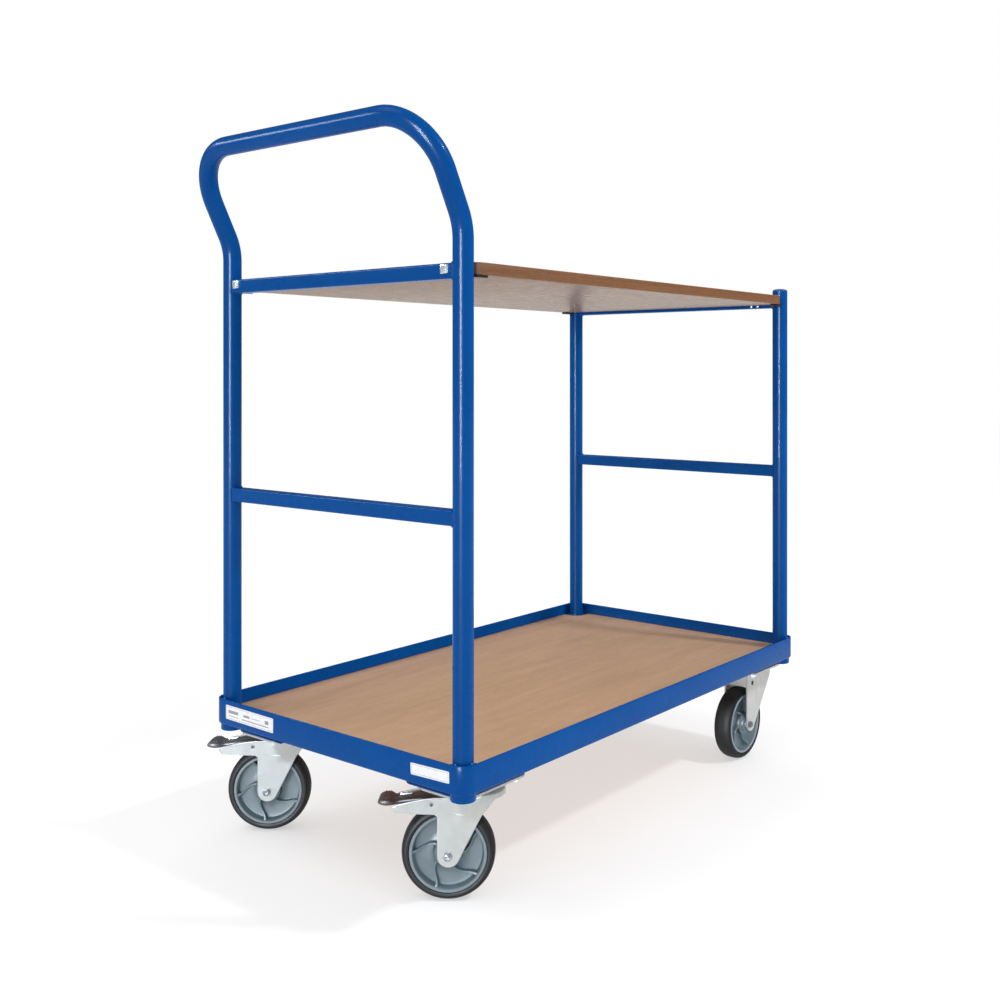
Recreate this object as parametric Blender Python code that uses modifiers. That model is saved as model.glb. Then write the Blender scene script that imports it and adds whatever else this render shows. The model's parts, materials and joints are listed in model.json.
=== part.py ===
"""Two-deck platform trolley: tube-and-angle steel frame, two board decks, four castors.

Metres, +Z up, floor at Z = 0. +X is forwards (the push handle is at -X) and +Y is the left side.
Every castor is built round its own plate centre, with +U pointing from there to its axle.
"""
import math

import bmesh
import bpy

# Deck frame: an angle-section ring with round corners, holding a lay-in board.
DECK_LENGTH = 0.907
DECK_WIDTH = 0.507
CORNER_RADIUS = 0.0205
RIM_BOTTOM = 0.1734
RIM_HEIGHT = 0.038
STEEL = 0.003
FLANGE_WIDTH = 0.030
GAP = 0.0003
DECK_BOARD_THICKNESS = 0.015
CHANNEL_BOTTOM = 0.1583
CHANNEL_INNER_Y = 0.126
CHANNEL_OUTER_Y = 0.2245
HANDLE_CHANNEL_X = (-0.4265, -0.2930)
FRONT_CHANNEL_X = (0.3440, 0.4510)

# Upright tubes stand in sleeves in the four corners.
TUBE_RADIUS = 0.01345
TUBE_WALL = 0.0020
POST_INSET = 0.020
POST_BOTTOM = 0.1634
FRONT_POST_TOP = 0.8459
CAP_RISE = 0.0045
SOCKET_RADIUS = 0.0166
SOCKET_TOP = 0.1929

# Push handle: legs rise, lean back and join in a crossbar.
LEAN_START = 0.8834
LEAN_ANGLE = math.radians(27.0)
LEAN_BEND = 0.080
GRIP_HEIGHT = 1.0179
GRIP_BEND = 0.080

# Cross rails between the uprights, and the upper board on four lugs.
RAIL = 0.020
MID_RAIL_BOTTOM = 0.5054
SHELF_RAIL_BOTTOM = 0.8157
SHELF_LENGTH = 0.8390
SHELF_WIDTH = 0.490
SHELF_BOTTOM = 0.8212
SHELF_THICKNESS = 0.016
SHELF_CORNER = 0.012
LUG_INNER_X = 0.395
LUG_INNER_Y = 0.231
LUG_OUTER_Y = 0.2445

# Castors: 125 mm wheels in pressed forks.
WHEEL_RADIUS = 0.0625
TYRE_INNER = 0.0520
TYRE_WIDTH = 0.032
TRAIL = 0.0408
CASTOR_Y = 0.1866
SWIVEL_X = -0.3496
FIXED_X = 0.4000
SWIVEL_REST = math.radians(128.4)
PLATE_TOP = 0.1580
PLATE_THICKNESS = 0.0035
PLATE_LENGTH = 0.105
PLATE_WIDTH = 0.080
SWIVEL_PLATE_LENGTH = 0.128
SWIVEL_PLATE_SHIFT = -0.0115
BOLT_SPACING_U = 0.080
BOLT_SPACING_V = 0.060
BOLT_HOLE = 0.0045
CROWN_TOP = 0.147
CROWN_RADIUS = 0.037
CROWN_FRONT = -0.0262
FIXED_FRONT = -0.040
FORK_INNER = 0.0205
FORK_STEEL = 0.003
HEAD_RADIUS = 0.0272
CROWN_SKIRT = 0.0100
KINGPIN_RADIUS = 0.0075
KINGPIN_HOLE = 0.0080
SLEEVE_RADIUS = 0.0070
AXLE_RADIUS = 0.0040
HEX_RADIUS = 0.0067
PEDAL_PIN_U = TRAIL + 0.021
PEDAL_PIN_Z = 0.1300
PEDAL_PIN_RADIUS = 0.0025
PEDAL_TIP_U = TRAIL + 0.093
PEDAL_HALF_WIDTH = 0.0190

HALF_L = DECK_LENGTH / 2
HALF_W = DECK_WIDTH / 2
RIM_TOP = RIM_BOTTOM + RIM_HEIGHT
POST_X = HALF_L - POST_INSET
POST_Y = HALF_W - POST_INSET
GRIP_X = -POST_X - (GRIP_HEIGHT - LEAN_START) * math.tan(LEAN_ANGLE)
FORK_OUTER = FORK_INNER + FORK_STEEL

# The origin lies on the floor, under the middle of the outline with the castors at rest.
TRAIL_DIR = (math.cos(SWIVEL_REST), math.sin(SWIVEL_REST))
PEDAL_REACH_Y = CASTOR_Y + PEDAL_TIP_U * TRAIL_DIR[1] + PEDAL_HALF_WIDTH * abs(TRAIL_DIR[0])
DECK_X = (TUBE_RADIUS - GRIP_X - HALF_L) / 2
DECK_Y = (HALF_W - PEDAL_REACH_Y) / 2

BLUE = ("blue_paint", (0.012, 0.105, 0.335), 0.35, 0.0)
BOARD = ("beech_board", (0.50, 0.34, 0.21), 0.45, 0.0)
ZINC = ("zinc_plate", (0.60, 0.62, 0.62), 0.35, 0.9)
BRIGHT = ("bright_fastener", (0.70, 0.71, 0.72), 0.25, 1.0)
HUB_GREY = ("hub_plastic", (0.16, 0.20, 0.23), 0.5, 0.0)
RUBBER = ("tyre_rubber", (0.03, 0.027, 0.027), 0.8, 0.0)
PEDAL_GREY = ("pedal_plastic", (0.13, 0.12, 0.11), 0.5, 0.0)
CAP_BLUE = ("cap_plastic", (0.01, 0.08, 0.28), 0.45, 0.0)


def clear_scene():
    for obj in list(bpy.data.objects):
        bpy.data.objects.remove(obj, do_unlink=True)


def new_collection(name):
    collection = bpy.data.collections.new(name)
    bpy.context.scene.collection.children.link(collection)
    return collection


clear_scene()
PARTS = new_collection("platform_trolley")
CUTTERS = new_collection("cutters")


def empty(name, location, parent=None, rotation=(0.0, 0.0, 0.0)):
    """A reference point, or a joint's axis, that pieces hang on."""
    obj = bpy.data.objects.new(name, None)
    obj.empty_display_size = 0.05
    obj.location = location
    obj.rotation_euler = rotation
    obj.parent = parent
    PARTS.objects.link(obj)
    return obj


def paint(obj, recipe):
    name, colour, roughness, metallic = recipe
    mat = bpy.data.materials.get(name)
    if mat is None:
        mat = bpy.data.materials.new(name)
        mat.use_nodes = True
        shader = mat.node_tree.nodes["Principled BSDF"]
        shader.inputs["Base Color"].default_value = (*colour, 1.0)
        shader.inputs["Roughness"].default_value = roughness
        shader.inputs["Metallic"].default_value = metallic
        mat.diffuse_color = (*colour, 1.0)
    obj.data.materials.clear()
    obj.data.materials.append(mat)


def keep(obj, name, recipe, parent, location=(0.0, 0.0, 0.0), rotation=(0.0, 0.0, 0.0)):
    """Name a finished piece, colour it and hang it on its parent."""
    obj.name = name
    obj.data.name = name
    for collection in list(obj.users_collection):
        collection.objects.unlink(obj)
    PARTS.objects.link(obj)
    paint(obj, recipe)
    obj.parent = parent
    obj.location = location
    obj.rotation_euler = rotation
    if obj.type == "MESH":
        obj.data.shade_smooth()
        obj.data.set_sharp_from_angle(angle=math.radians(35))
    return obj


def boolean(target, other, operation):
    """Cut or join another solid, given in the target's own coordinates."""
    for collection in list(other.users_collection):
        collection.objects.unlink(other)
    CUTTERS.objects.link(other)
    other.name = "cutter_" + other.name
    other.parent = target
    other.hide_render = True
    other.display_type = "WIRE"
    modifier = target.modifiers.new(operation.lower(), "BOOLEAN")
    modifier.operation = operation
    modifier.object = other
    modifier.solver = "EXACT"


def cut(target, other):
    boolean(target, other, "DIFFERENCE")


def join(target, other):
    boolean(target, other, "UNION")


def mesh_object(name, fill):
    """A mesh object made by a function that works on a BMesh."""
    mesh = bpy.data.meshes.new(name)
    bm = bmesh.new()
    fill(bm)
    bm.to_mesh(mesh)
    bm.free()
    obj = bpy.data.objects.new(name, mesh)
    bpy.context.scene.collection.objects.link(obj)
    return obj


def box(low, high, name="block"):
    """A box between two corners."""
    def fill(bm):
        bmesh.ops.create_cube(bm, size=1.0)
        for vert in bm.verts:
            for i in range(3):
                vert.co[i] = low[i] if vert.co[i] < 0 else high[i]
    return mesh_object(name, fill)


def turn(obj, axis):
    """Lay a solid made along Z onto another axis, and bake that into its mesh."""
    for vert in obj.data.vertices:
        x, y, z = vert.co
        if axis == "Y":
            vert.co = (x, -z, y)
        elif axis == "X":
            vert.co = (z, y, -x)
    return obj


def rod(radius, low, high, centre=(0.0, 0.0), segments=16, axis="Z", name="rod"):
    """A plain cylinder between two heights; along Y its centre is given as (x, z)."""
    def fill(bm):
        bmesh.ops.create_cone(
            bm, cap_ends=True, segments=segments, radius1=radius, radius2=radius, depth=high - low
        )
        for vert in bm.verts:
            vert.co.z += (low + high) / 2
            if axis == "Z":
                vert.co.x += centre[0]
                vert.co.y += centre[1]
            else:
                x, y, z = vert.co
                vert.co = (x + centre[0], z, -y + centre[1])
    return mesh_object(name, fill)


def turned(profile, steps, name="turned"):
    """A closed profile of (radius, height) points turned about Z, outer side top to bottom."""
    def fill(bm):
        verts = [bm.verts.new((r, 0.0, z)) for r, z in profile]
        for i, vert in enumerate(verts):
            bm.edges.new((vert, verts[(i + 1) % len(verts)]))
    obj = mesh_object(name, fill)
    screw = obj.modifiers.new("turn", "SCREW")
    screw.angle = math.tau
    screw.steps = steps
    screw.render_steps = steps
    screw.use_merge_vertices = True
    screw.merge_threshold = 0.00001
    return baked(obj)


def baked(obj):
    """The evaluated shape of an object as a welded mesh of its own."""
    bpy.context.view_layer.update()
    graph = bpy.context.evaluated_depsgraph_get()
    mesh = bpy.data.meshes.new_from_object(obj.evaluated_get(graph))
    bm = bmesh.new()
    bm.from_mesh(mesh)
    bmesh.ops.remove_doubles(bm, verts=bm.verts, dist=0.00001)
    bm.to_mesh(mesh)
    bm.free()
    result = bpy.data.objects.new(obj.name, mesh)
    result.matrix_world = obj.matrix_world
    bpy.context.scene.collection.objects.link(result)
    bpy.data.objects.remove(obj, do_unlink=True)
    return result


def plate(outlines, low, high, name="plate"):
    """A flat sheet between two heights; the outlines after the first are holes."""
    curve = bpy.data.curves.new(name, "CURVE")
    curve.dimensions = "2D"
    curve.fill_mode = "BOTH"
    curve.extrude = (high - low) / 2
    for outline in outlines:
        spline = curve.splines.new("POLY")
        spline.points.add(len(outline) - 1)
        for point, (x, y) in zip(spline.points, outline):
            point.co = (x, y, 0.0, 1.0)
        spline.use_cyclic_u = True
    obj = bpy.data.objects.new(name, curve)
    bpy.context.scene.collection.objects.link(obj)
    result = baked(obj)
    for vert in result.data.vertices:
        vert.co.z += (low + high) / 2
    return result


def upright_plate(outlines, low, high, name="side"):
    """A flat sheet drawn in (x, z) and thick from y = low to y = high."""
    obj = plate(outlines, -high, -low, name)
    for vert in obj.data.vertices:
        x, y, z = vert.co
        vert.co = (x, -z, y)
    return obj


def arc(centre, radius, start, end, steps):
    """Points on an arc, with angles in degrees."""
    points = []
    for i in range(steps + 1):
        angle = math.radians(start + (end - start) * i / steps)
        points.append((centre[0] + radius * math.cos(angle), centre[1] + radius * math.sin(angle)))
    return points


def circle(centre, radius, segments):
    return arc(centre, radius, 0, 360 * (segments - 1) / segments, segments - 1)


def round_rectangle(half_x, half_y, radius, steps=4):
    points = []
    for sx, sy, start in ((1, 1, 0), (-1, 1, 90), (-1, -1, 180), (1, -1, 270)):
        centre = (sx * (half_x - radius), sy * (half_y - radius))
        points += arc(centre, radius, start, start + 90, steps)
    return points


def tube(path, radius, name, sides=6):
    """A solid round bar along a path; sides is the curve's bevel resolution."""
    curve = bpy.data.curves.new(name, "CURVE")
    curve.dimensions = "3D"
    curve.bevel_depth = radius
    curve.bevel_resolution = sides
    curve.use_fill_caps = True
    spline = curve.splines.new("POLY")
    spline.points.add(len(path) - 1)
    for point, co in zip(spline.points, path):
        point.co = (*co, 1.0)
    obj = bpy.data.objects.new(name, curve)
    bpy.context.scene.collection.objects.link(obj)
    return baked(obj)


def corners():
    """Name and signs of each upright's corner."""
    return (
        ("handle_left", -1, 1),
        ("handle_right", -1, -1),
        ("front_left", 1, 1),
        ("front_right", 1, -1),
    )


def make_deck_frame(parent):
    """The angle ring: an upright rim with a flange turned in along its foot."""
    outer = round_rectangle(HALF_L, HALF_W, CORNER_RADIUS)
    frame = plate([outer], RIM_BOTTOM, RIM_TOP, "deck_frame")
    well = round_rectangle(HALF_L - STEEL, HALF_W - STEEL, CORNER_RADIUS - STEEL)
    cut(frame, plate([well], RIM_BOTTOM + STEEL, RIM_TOP + 0.01, "rim_well"))
    hole = round_rectangle(HALF_L - FLANGE_WIDTH, HALF_W - FLANGE_WIDTH, 0.004, 2)
    cut(frame, plate([hole], RIM_BOTTOM - 0.01, RIM_TOP + 0.01, "flange_hole"))
    for _, sx, sy in corners():
        centre = (sx * POST_X, sy * POST_Y)
        cut(frame, rod(SOCKET_RADIUS + GAP, RIM_BOTTOM - 0.01, RIM_BOTTOM + 0.01, centre, name="socket_hole"))
    return keep(frame, "deck_frame", BLUE, parent)


def make_sockets(parent):
    """A sleeve in each corner takes the foot of an upright."""
    top = SOCKET_TOP
    for name, sx, sy in corners():
        profile = [
            (SOCKET_RADIUS, top),
            (SOCKET_RADIUS, POST_BOTTOM),
            (TUBE_RADIUS + GAP, POST_BOTTOM),
            (TUBE_RADIUS + GAP, top),
        ]
        socket = turned(profile, 16, "socket")
        keep(socket, "corner_socket_" + name, BLUE, parent, (sx * POST_X, sy * POST_Y, 0.0))


def make_deck_board(parent):
    """The lay-in board, notched round the corner sockets."""
    half_x = HALF_L - STEEL - 0.0012
    half_y = HALF_W - STEEL - 0.0012
    low = RIM_BOTTOM + STEEL + GAP
    board = plate([round_rectangle(half_x, half_y, 0.004, 2)], low, low + DECK_BOARD_THICKNESS, "deck_board")
    notch = POST_INSET - STEEL + SOCKET_RADIUS + 0.0015
    for _, sx, sy in corners():
        x_pair = sorted((sx * (half_x - notch), sx * (half_x + 0.01)))
        y_pair = sorted((sy * (half_y - notch), sy * (half_y + 0.01)))
        block = box((x_pair[0], y_pair[0], low - 0.01), (x_pair[1], y_pair[1], RIM_TOP), "notch")
        cut(board, block)
    keep(board, "deck_board", BOARD, parent)


def make_channels(parent):
    """A short U-section channel under each corner's flanges, closed at its outer end, for a castor."""
    top = RIM_BOTTOM - GAP
    for name, sx, sy in corners():
        low_x, high_x = HANDLE_CHANNEL_X if sx < 0 else FRONT_CHANNEL_X
        low_y, high_y = sorted((sy * CHANNEL_INNER_Y, sy * CHANNEL_OUTER_Y))
        channel = box((low_x, low_y, CHANNEL_BOTTOM), (high_x, high_y, top), "channel")
        trough_x = (low_x + STEEL, high_x + 0.01) if sx < 0 else (low_x - 0.01, high_x - STEEL)
        trough_low = (trough_x[0], low_y + STEEL, CHANNEL_BOTTOM + STEEL)
        cut(channel, box(trough_low, (trough_x[1], high_y - STEEL, top + 0.01), "trough"))
        socket = (sx * POST_X, sy * POST_Y)
        cut(channel, rod(SOCKET_RADIUS + 0.001, POST_BOTTOM - 0.001, RIM_TOP, socket, name="socket_relief"))
        plate_x = SWIVEL_X if sx < 0 else FIXED_X
        for su in (-1, 1):
            for sv in (-1, 1):
                centre = (plate_x + su * BOLT_SPACING_U / 2, sy * CASTOR_Y + sv * BOLT_SPACING_V / 2)
                low = CHANNEL_BOTTOM - 0.01
                cut(channel, rod(BOLT_HOLE, low, low + 0.02, centre, 12, name="bolt_hole"))
        keep(channel, "castor_channel_" + name, BLUE, parent)


def handle_path():
    """Half of the handle's centre line, from its foot to the middle of the grip."""
    path = [(-POST_X, 0.0, POST_BOTTOM)]
    tangent = LEAN_BEND * math.tan(LEAN_ANGLE / 2)
    centre_x = -POST_X - LEAN_BEND
    for i in range(5):
        angle = LEAN_ANGLE * i / 4
        x = centre_x + LEAN_BEND * math.cos(angle)
        z = LEAN_START - tangent + LEAN_BEND * math.sin(angle)
        path.append((x, 0.0, z))
    slope = math.hypot(GRIP_X + POST_X, GRIP_HEIGHT - LEAN_START)
    back = (-math.sin(LEAN_ANGLE), math.cos(LEAN_ANGLE))
    for i in range(9):
        angle = math.pi / 2 * i / 8
        along = slope - GRIP_BEND * (1 - math.sin(angle))
        inward = GRIP_BEND * (1 - math.cos(angle))
        path.append((-POST_X + back[0] * along, inward, LEAN_START + back[1] * along))
    return path


def make_push_handle(parent):
    """One bent tube: two legs that lean back and a crossbar to push on."""
    half = handle_path()
    path = [(x, POST_Y - y, z) for x, y, z in half]
    path += [(x, -(POST_Y - y), z) for x, y, z in reversed(half)]
    handle = tube(path, TUBE_RADIUS, "push_handle")
    bore = [(path[0][0], path[0][1], path[0][2] - 0.01)] + path[1:-1]
    bore += [(path[-1][0], path[-1][1], path[-1][2] - 0.01)]
    cut(handle, tube(bore, TUBE_RADIUS - TUBE_WALL, "handle_bore"))
    return keep(handle, "push_handle", BLUE, parent)


def make_front_posts(parent):
    """Straight uprights at the front, each with a domed plug in its top."""
    inner = TUBE_RADIUS - TUBE_WALL
    for side, sy in (("left", 1), ("right", -1)):
        place = (POST_X, sy * POST_Y, 0.0)
        wall = [
            (TUBE_RADIUS, FRONT_POST_TOP),
            (TUBE_RADIUS, POST_BOTTOM),
            (inner, POST_BOTTOM),
            (inner, FRONT_POST_TOP),
        ]
        keep(turned(wall, 16), "front_post_" + side, BLUE, parent, place)
        low = FRONT_POST_TOP + GAP
        dome = [(0.0, low + CAP_RISE)]
        dome += [(TUBE_RADIUS * 0.55, low + CAP_RISE * 0.9), (TUBE_RADIUS * 0.9, low + CAP_RISE * 0.5)]
        dome += [(TUBE_RADIUS, low + 0.0008), (TUBE_RADIUS, low), (inner - GAP, low)]
        dome += [(inner - GAP, low - 0.012), (0.0, low - 0.012)]
        keep(turned(dome, 16), "post_cap_" + side, CAP_BLUE, parent, place)


def make_rails(parent):
    """Square-tube cross rails: a low and a high one at each end."""
    reach = POST_Y - TUBE_RADIUS - GAP
    wall = 0.0018
    for end, sx in (("handle", -1), ("front", 1)):
        for level, low in (("mid", MID_RAIL_BOTTOM), ("shelf", SHELF_RAIL_BOTTOM)):
            section = round_rectangle(RAIL / 2, RAIL / 2, 0.002, 2)
            hollow = round_rectangle(RAIL / 2 - wall, RAIL / 2 - wall, 0.0008, 1)
            rail = upright_plate([section, hollow], -reach, reach, "rail")
            place = (sx * POST_X, 0.0, low + RAIL / 2)
            keep(rail, end + "_" + level + "_rail", BLUE, parent, place)


def make_shelf(parent):
    """The upper board, and the four lugs on the uprights that it lies on."""
    outline = round_rectangle(SHELF_LENGTH / 2, SHELF_WIDTH / 2, SHELF_CORNER, 3)
    board = plate([outline], SHELF_BOTTOM, SHELF_BOTTOM + SHELF_THICKNESS, "shelf_board")
    keep(board, "shelf_board", BOARD, parent)
    high = SHELF_BOTTOM - GAP
    face = POST_X - TUBE_RADIUS - GAP
    for name, sx, sy in corners():
        x_pair = sorted((sx * face, sx * LUG_INNER_X))
        y_pair = sorted((sy * LUG_OUTER_Y, sy * LUG_INNER_Y))
        lug = box((x_pair[0], y_pair[0], high - STEEL), (x_pair[1], y_pair[1], high), "lug")
        keep(lug, "shelf_lug_" + name, BLUE, parent)


def tangent_foot(centre, radius, point):
    """Arc round a leg's foot, from its trailing side to where the line to a point leaves it."""
    distance = math.dist(centre, point)
    heading = math.atan2(point[1] - centre[1], point[0] - centre[0])
    last = math.degrees(heading + math.acos(radius / distance))
    return arc(centre, radius, 0, last - 360, 8)


def swivel_side():
    """Side view of a swivel fork's leg as (u, z), with the arm that carries the pedal."""
    knee = (TRAIL - 0.046, 0.118)
    points = tangent_foot((TRAIL - 0.001, WHEEL_RADIUS), 0.0145, knee)
    points += [knee, (CROWN_FRONT, CROWN_TOP - 0.002), (CROWN_FRONT, CROWN_TOP)]
    points += [(TRAIL - 0.0110, CROWN_TOP), (TRAIL - 0.0060, 0.1388), (TRAIL + 0.0190, 0.1386)]
    points += [(TRAIL + 0.0320, 0.1372), (TRAIL + 0.0508, 0.1334), (TRAIL + 0.0690, 0.1290)]
    points += [(TRAIL + 0.0728, 0.1256), (TRAIL + 0.0680, 0.1198), (TRAIL + 0.0460, 0.1180)]
    points += [(TRAIL + 0.0175, 0.1172), (TRAIL + 0.0135, 0.1140)]
    return points


def fixed_side(top):
    """Side view of a fixed fork's leg as (u, z): upright at the back, raked at the front."""
    knee = (FIXED_FRONT, 0.139)
    points = tangent_foot((TRAIL - 0.005, WHEEL_RADIUS), 0.0145, knee)
    points += [knee, (FIXED_FRONT, top), (TRAIL + 0.0095, top)]
    return points


def make_fork(name, parent, swivels):
    """A pressed fork: a crown with two legs, drilled for its axle, pedal pin and kingpin."""
    top = CROWN_TOP if swivels else PLATE_TOP - PLATE_THICKNESS - GAP
    side = swivel_side() if swivels else fixed_side(top)
    holes = [circle((TRAIL, WHEEL_RADIUS), AXLE_RADIUS + GAP, 12)]
    if swivels:
        holes.append(circle((PEDAL_PIN_U, PEDAL_PIN_Z), PEDAL_PIN_RADIUS + GAP, 12))
    fork = upright_plate([side] + holes, FORK_INNER, FORK_OUTER, "fork")
    join(fork, upright_plate([side] + holes, -FORK_OUTER, -FORK_INNER, "leg"))
    if swivels:
        crest = top + 0.0002
        crown = [
            (CROWN_RADIUS - 0.0025, crest),
            (CROWN_RADIUS, top - 0.0025),
            (CROWN_RADIUS, top - CROWN_SKIRT),
            (CROWN_RADIUS - FORK_STEEL, top - CROWN_SKIRT),
            (CROWN_RADIUS - FORK_STEEL, top - FORK_STEEL),
            (KINGPIN_HOLE, top - FORK_STEEL),
            (KINGPIN_HOLE, crest),
        ]
        join(fork, turned(crown, 28, "crown"))
    else:
        low = (FIXED_FRONT, -FORK_OUTER, top - FORK_STEEL)
        join(fork, box(low, (TRAIL + 0.0095, FORK_OUTER, top), "crown"))
        web_top = top - FORK_STEEL / 2
        web = box((TRAIL + 0.0065, -FORK_OUTER, 0.130), (TRAIL + 0.0095, FORK_OUTER, web_top), "web")
        join(fork, web)
    return keep(fork, name, ZINC, parent)


def make_top_plate(corner, parent, swivels):
    """The plate that bolts to the channel, with a hole near each bolt; a swivel castor's is longer."""
    low = PLATE_TOP - PLATE_THICKNESS
    length = SWIVEL_PLATE_LENGTH if swivels else PLATE_LENGTH
    shift = SWIVEL_PLATE_SHIFT if swivels else 0.0
    outline = round_rectangle(length / 2, PLATE_WIDTH / 2, 0.008, 3)
    outlines = [[(x + shift, y) for x, y in outline]]
    for sx in (-1, 1):
        for sy in (-1, 1):
            centre = (sx * BOLT_SPACING_U / 2, sy * BOLT_SPACING_V / 2)
            outlines.append(circle(centre, BOLT_HOLE, 12))
    keep(plate(outlines, low, PLATE_TOP), "castor_plate_" + corner, ZINC, parent)


def make_swivel_bearing(corner, plate_parent, fork_parent):
    """The raceway on top of a swivel fork, and the kingpin that hangs it from the plate."""
    top = PLATE_TOP - PLATE_THICKNESS - GAP
    bottom = CROWN_TOP + 2 * GAP
    head = [
        (HEAD_RADIUS - 0.0015, top),
        (HEAD_RADIUS, top - 0.0015),
        (HEAD_RADIUS, bottom + 0.0015),
        (HEAD_RADIUS - 0.0015, bottom),
        (KINGPIN_HOLE, bottom),
        (KINGPIN_HOLE, top),
    ]
    keep(turned(head, 24), "swivel_race_" + corner, ZINC, fork_parent)
    crown_low = CROWN_TOP - FORK_STEEL - GAP
    pin = [
        (0.0, top),
        (KINGPIN_RADIUS, top),
        (KINGPIN_RADIUS, crown_low),
        (0.0115, crown_low),
        (0.0115, crown_low - 0.003),
        (0.009, crown_low - 0.005),
        (0.0, crown_low - 0.005),
    ]
    keep(turned(pin, 16), "kingpin_" + corner, BRIGHT, plate_parent)


def make_axle(corner, parent):
    """The axle bolt, its nut, and the sleeve that the fork clamps."""
    centre = (TRAIL, 0.0, WHEEL_RADIUS)
    head_low = FORK_OUTER + GAP
    spin = (math.pi / 2, 0.0, 0.0)
    bolt = rod(AXLE_RADIUS, -FORK_OUTER - 0.010, head_low + 0.001, segments=12)
    join(bolt, rod(HEX_RADIUS, head_low, head_low + 0.0055, segments=6, name="bolt_head"))
    keep(bolt, "axle_bolt_" + corner, BRIGHT, parent, centre, spin)
    nut_top = -FORK_OUTER - GAP
    nut = plate([circle((0, 0), HEX_RADIUS, 6), circle((0, 0), AXLE_RADIUS + GAP, 12)], nut_top - 0.0065, nut_top)
    keep(nut, "axle_nut_" + corner, BRIGHT, parent, centre, spin)
    reach = FORK_INNER - GAP
    sleeve = [
        (SLEEVE_RADIUS, reach),
        (SLEEVE_RADIUS, -reach),
        (AXLE_RADIUS + GAP, -reach),
        (AXLE_RADIUS + GAP, reach),
    ]
    keep(turned(sleeve, 16), "wheel_sleeve_" + corner, ZINC, parent, centre, spin)


def make_wheel(corner, parent):
    """Plastic hub with a thin web, and the rubber tyre moulded round it."""
    spin = (math.pi / 2, 0.0, 0.0)
    bore = SLEEVE_RADIUS + 0.0004
    boss = 0.0185
    rim = TYRE_INNER - GAP
    hub_half = 0.0155
    web = 0.0035
    half = [(bore, boss), (0.0155, boss), (0.0175, web + 0.001), (0.0455, web), (0.0465, hub_half)]
    outer = [(rim, hub_half)]
    profile = [(r, z) for r, z in half] + outer
    profile += [(rim, -hub_half)] + [(r, -z) for r, z in reversed(half)]
    profile.reverse()
    profile = [(r, -z) for r, z in profile]
    hub = turned(profile, 24, "hub")
    keep(hub, "wheel_hub_" + corner, HUB_GREY, parent, rotation=spin)
    edge = TYRE_WIDTH / 2
    tread = [
        (TYRE_INNER, edge - 0.0015),
        (WHEEL_RADIUS - 0.007, edge),
        (WHEEL_RADIUS - 0.0025, edge - 0.003),
        (WHEEL_RADIUS, edge - 0.0085),
    ]
    tyre_profile = tread + [(r, -z) for r, z in reversed(tread)]
    tyre = turned(tyre_profile, 36, "tyre")
    keep(tyre, "tyre_" + corner, RUBBER, parent, rotation=spin)


def make_pedal(corner, pedal_axis, fork_axis):
    """A foot pedal on a pin between the fork arms, with a shoe over the tyre."""
    pin_reach = FORK_OUTER + 0.0012
    pin = rod(PEDAL_PIN_RADIUS, -pin_reach, pin_reach, segments=12)
    place = (PEDAL_PIN_U, 0.0, PEDAL_PIN_Z)
    keep(pin, "pedal_pin_" + corner, BRIGHT, fork_axis, place, (math.pi / 2, 0.0, 0.0))
    length = PEDAL_TIP_U - PEDAL_PIN_U
    outline = arc((0.0, 0.0), 0.0056, 60, 225, 5)
    outline += [(0.012, -0.0045), (0.016, -0.0098), (0.024, -0.0098), (0.027, -0.0045)]
    outline += [(0.043, -0.0052), (length - 0.012, -0.0054)]
    outline += [(length - 0.002, -0.0026), (length, 0.0006), (length - 0.003, 0.0040)]
    outline += [(length - 0.010, 0.0062), (length - 0.018, 0.0058), (length - 0.036, 0.0060), (0.016, 0.0078)]
    eye = circle((0.0, 0.0), PEDAL_PIN_RADIUS + 0.0004, 12)
    outline.reverse()
    pedal = upright_plate([outline, eye], -PEDAL_HALF_WIDTH, PEDAL_HALF_WIDTH, "pedal")
    keep(pedal, "brake_pedal_" + corner, PEDAL_GREY, pedal_axis)


def make_castor(corner, parent, x, sy, swivels):
    """A whole castor; a swivelling one also has a kingpin joint and a brake pedal."""
    mount = empty("castor_mount_" + corner, (x, sy * CASTOR_Y, 0.0), parent)
    angle = SWIVEL_REST if swivels else math.pi
    swivel = empty("swivel_axis_" + corner, (0.0, 0.0, 0.0), mount, (0.0, 0.0, angle))
    make_top_plate(corner, mount, swivels)
    make_fork(("swivel_fork_" if swivels else "fixed_fork_") + corner, swivel, swivels)
    make_axle(corner, swivel)
    axle = empty("wheel_axis_" + corner, (TRAIL, 0.0, WHEEL_RADIUS), swivel)
    make_wheel(corner, axle)
    if swivels:
        make_swivel_bearing(corner, mount, swivel)
        pivot = empty("pedal_axis_" + corner, (PEDAL_PIN_U, 0.0, PEDAL_PIN_Z), swivel)
        make_pedal(corner, pivot, swivel)


def build_trolley():
    base = empty("trolley", (DECK_X, DECK_Y, 0.0))
    make_deck_frame(base)
    make_sockets(base)
    make_deck_board(base)
    make_channels(base)
    make_push_handle(base)
    make_front_posts(base)
    make_rails(base)
    make_shelf(base)
    for corner, sx, sy in corners():
        swivels = sx < 0
        make_castor(corner, base, SWIVEL_X if swivels else FIXED_X, sy, swivels)


build_trolley()
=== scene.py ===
"""Looks of the two-deck platform trolley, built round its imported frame.

Every size is in metres in the frame's own axes: +Z up, +X away from the push handle.
"""
import json
import math

import bmesh
import bpy
from mathutils import Matrix, Vector


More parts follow.
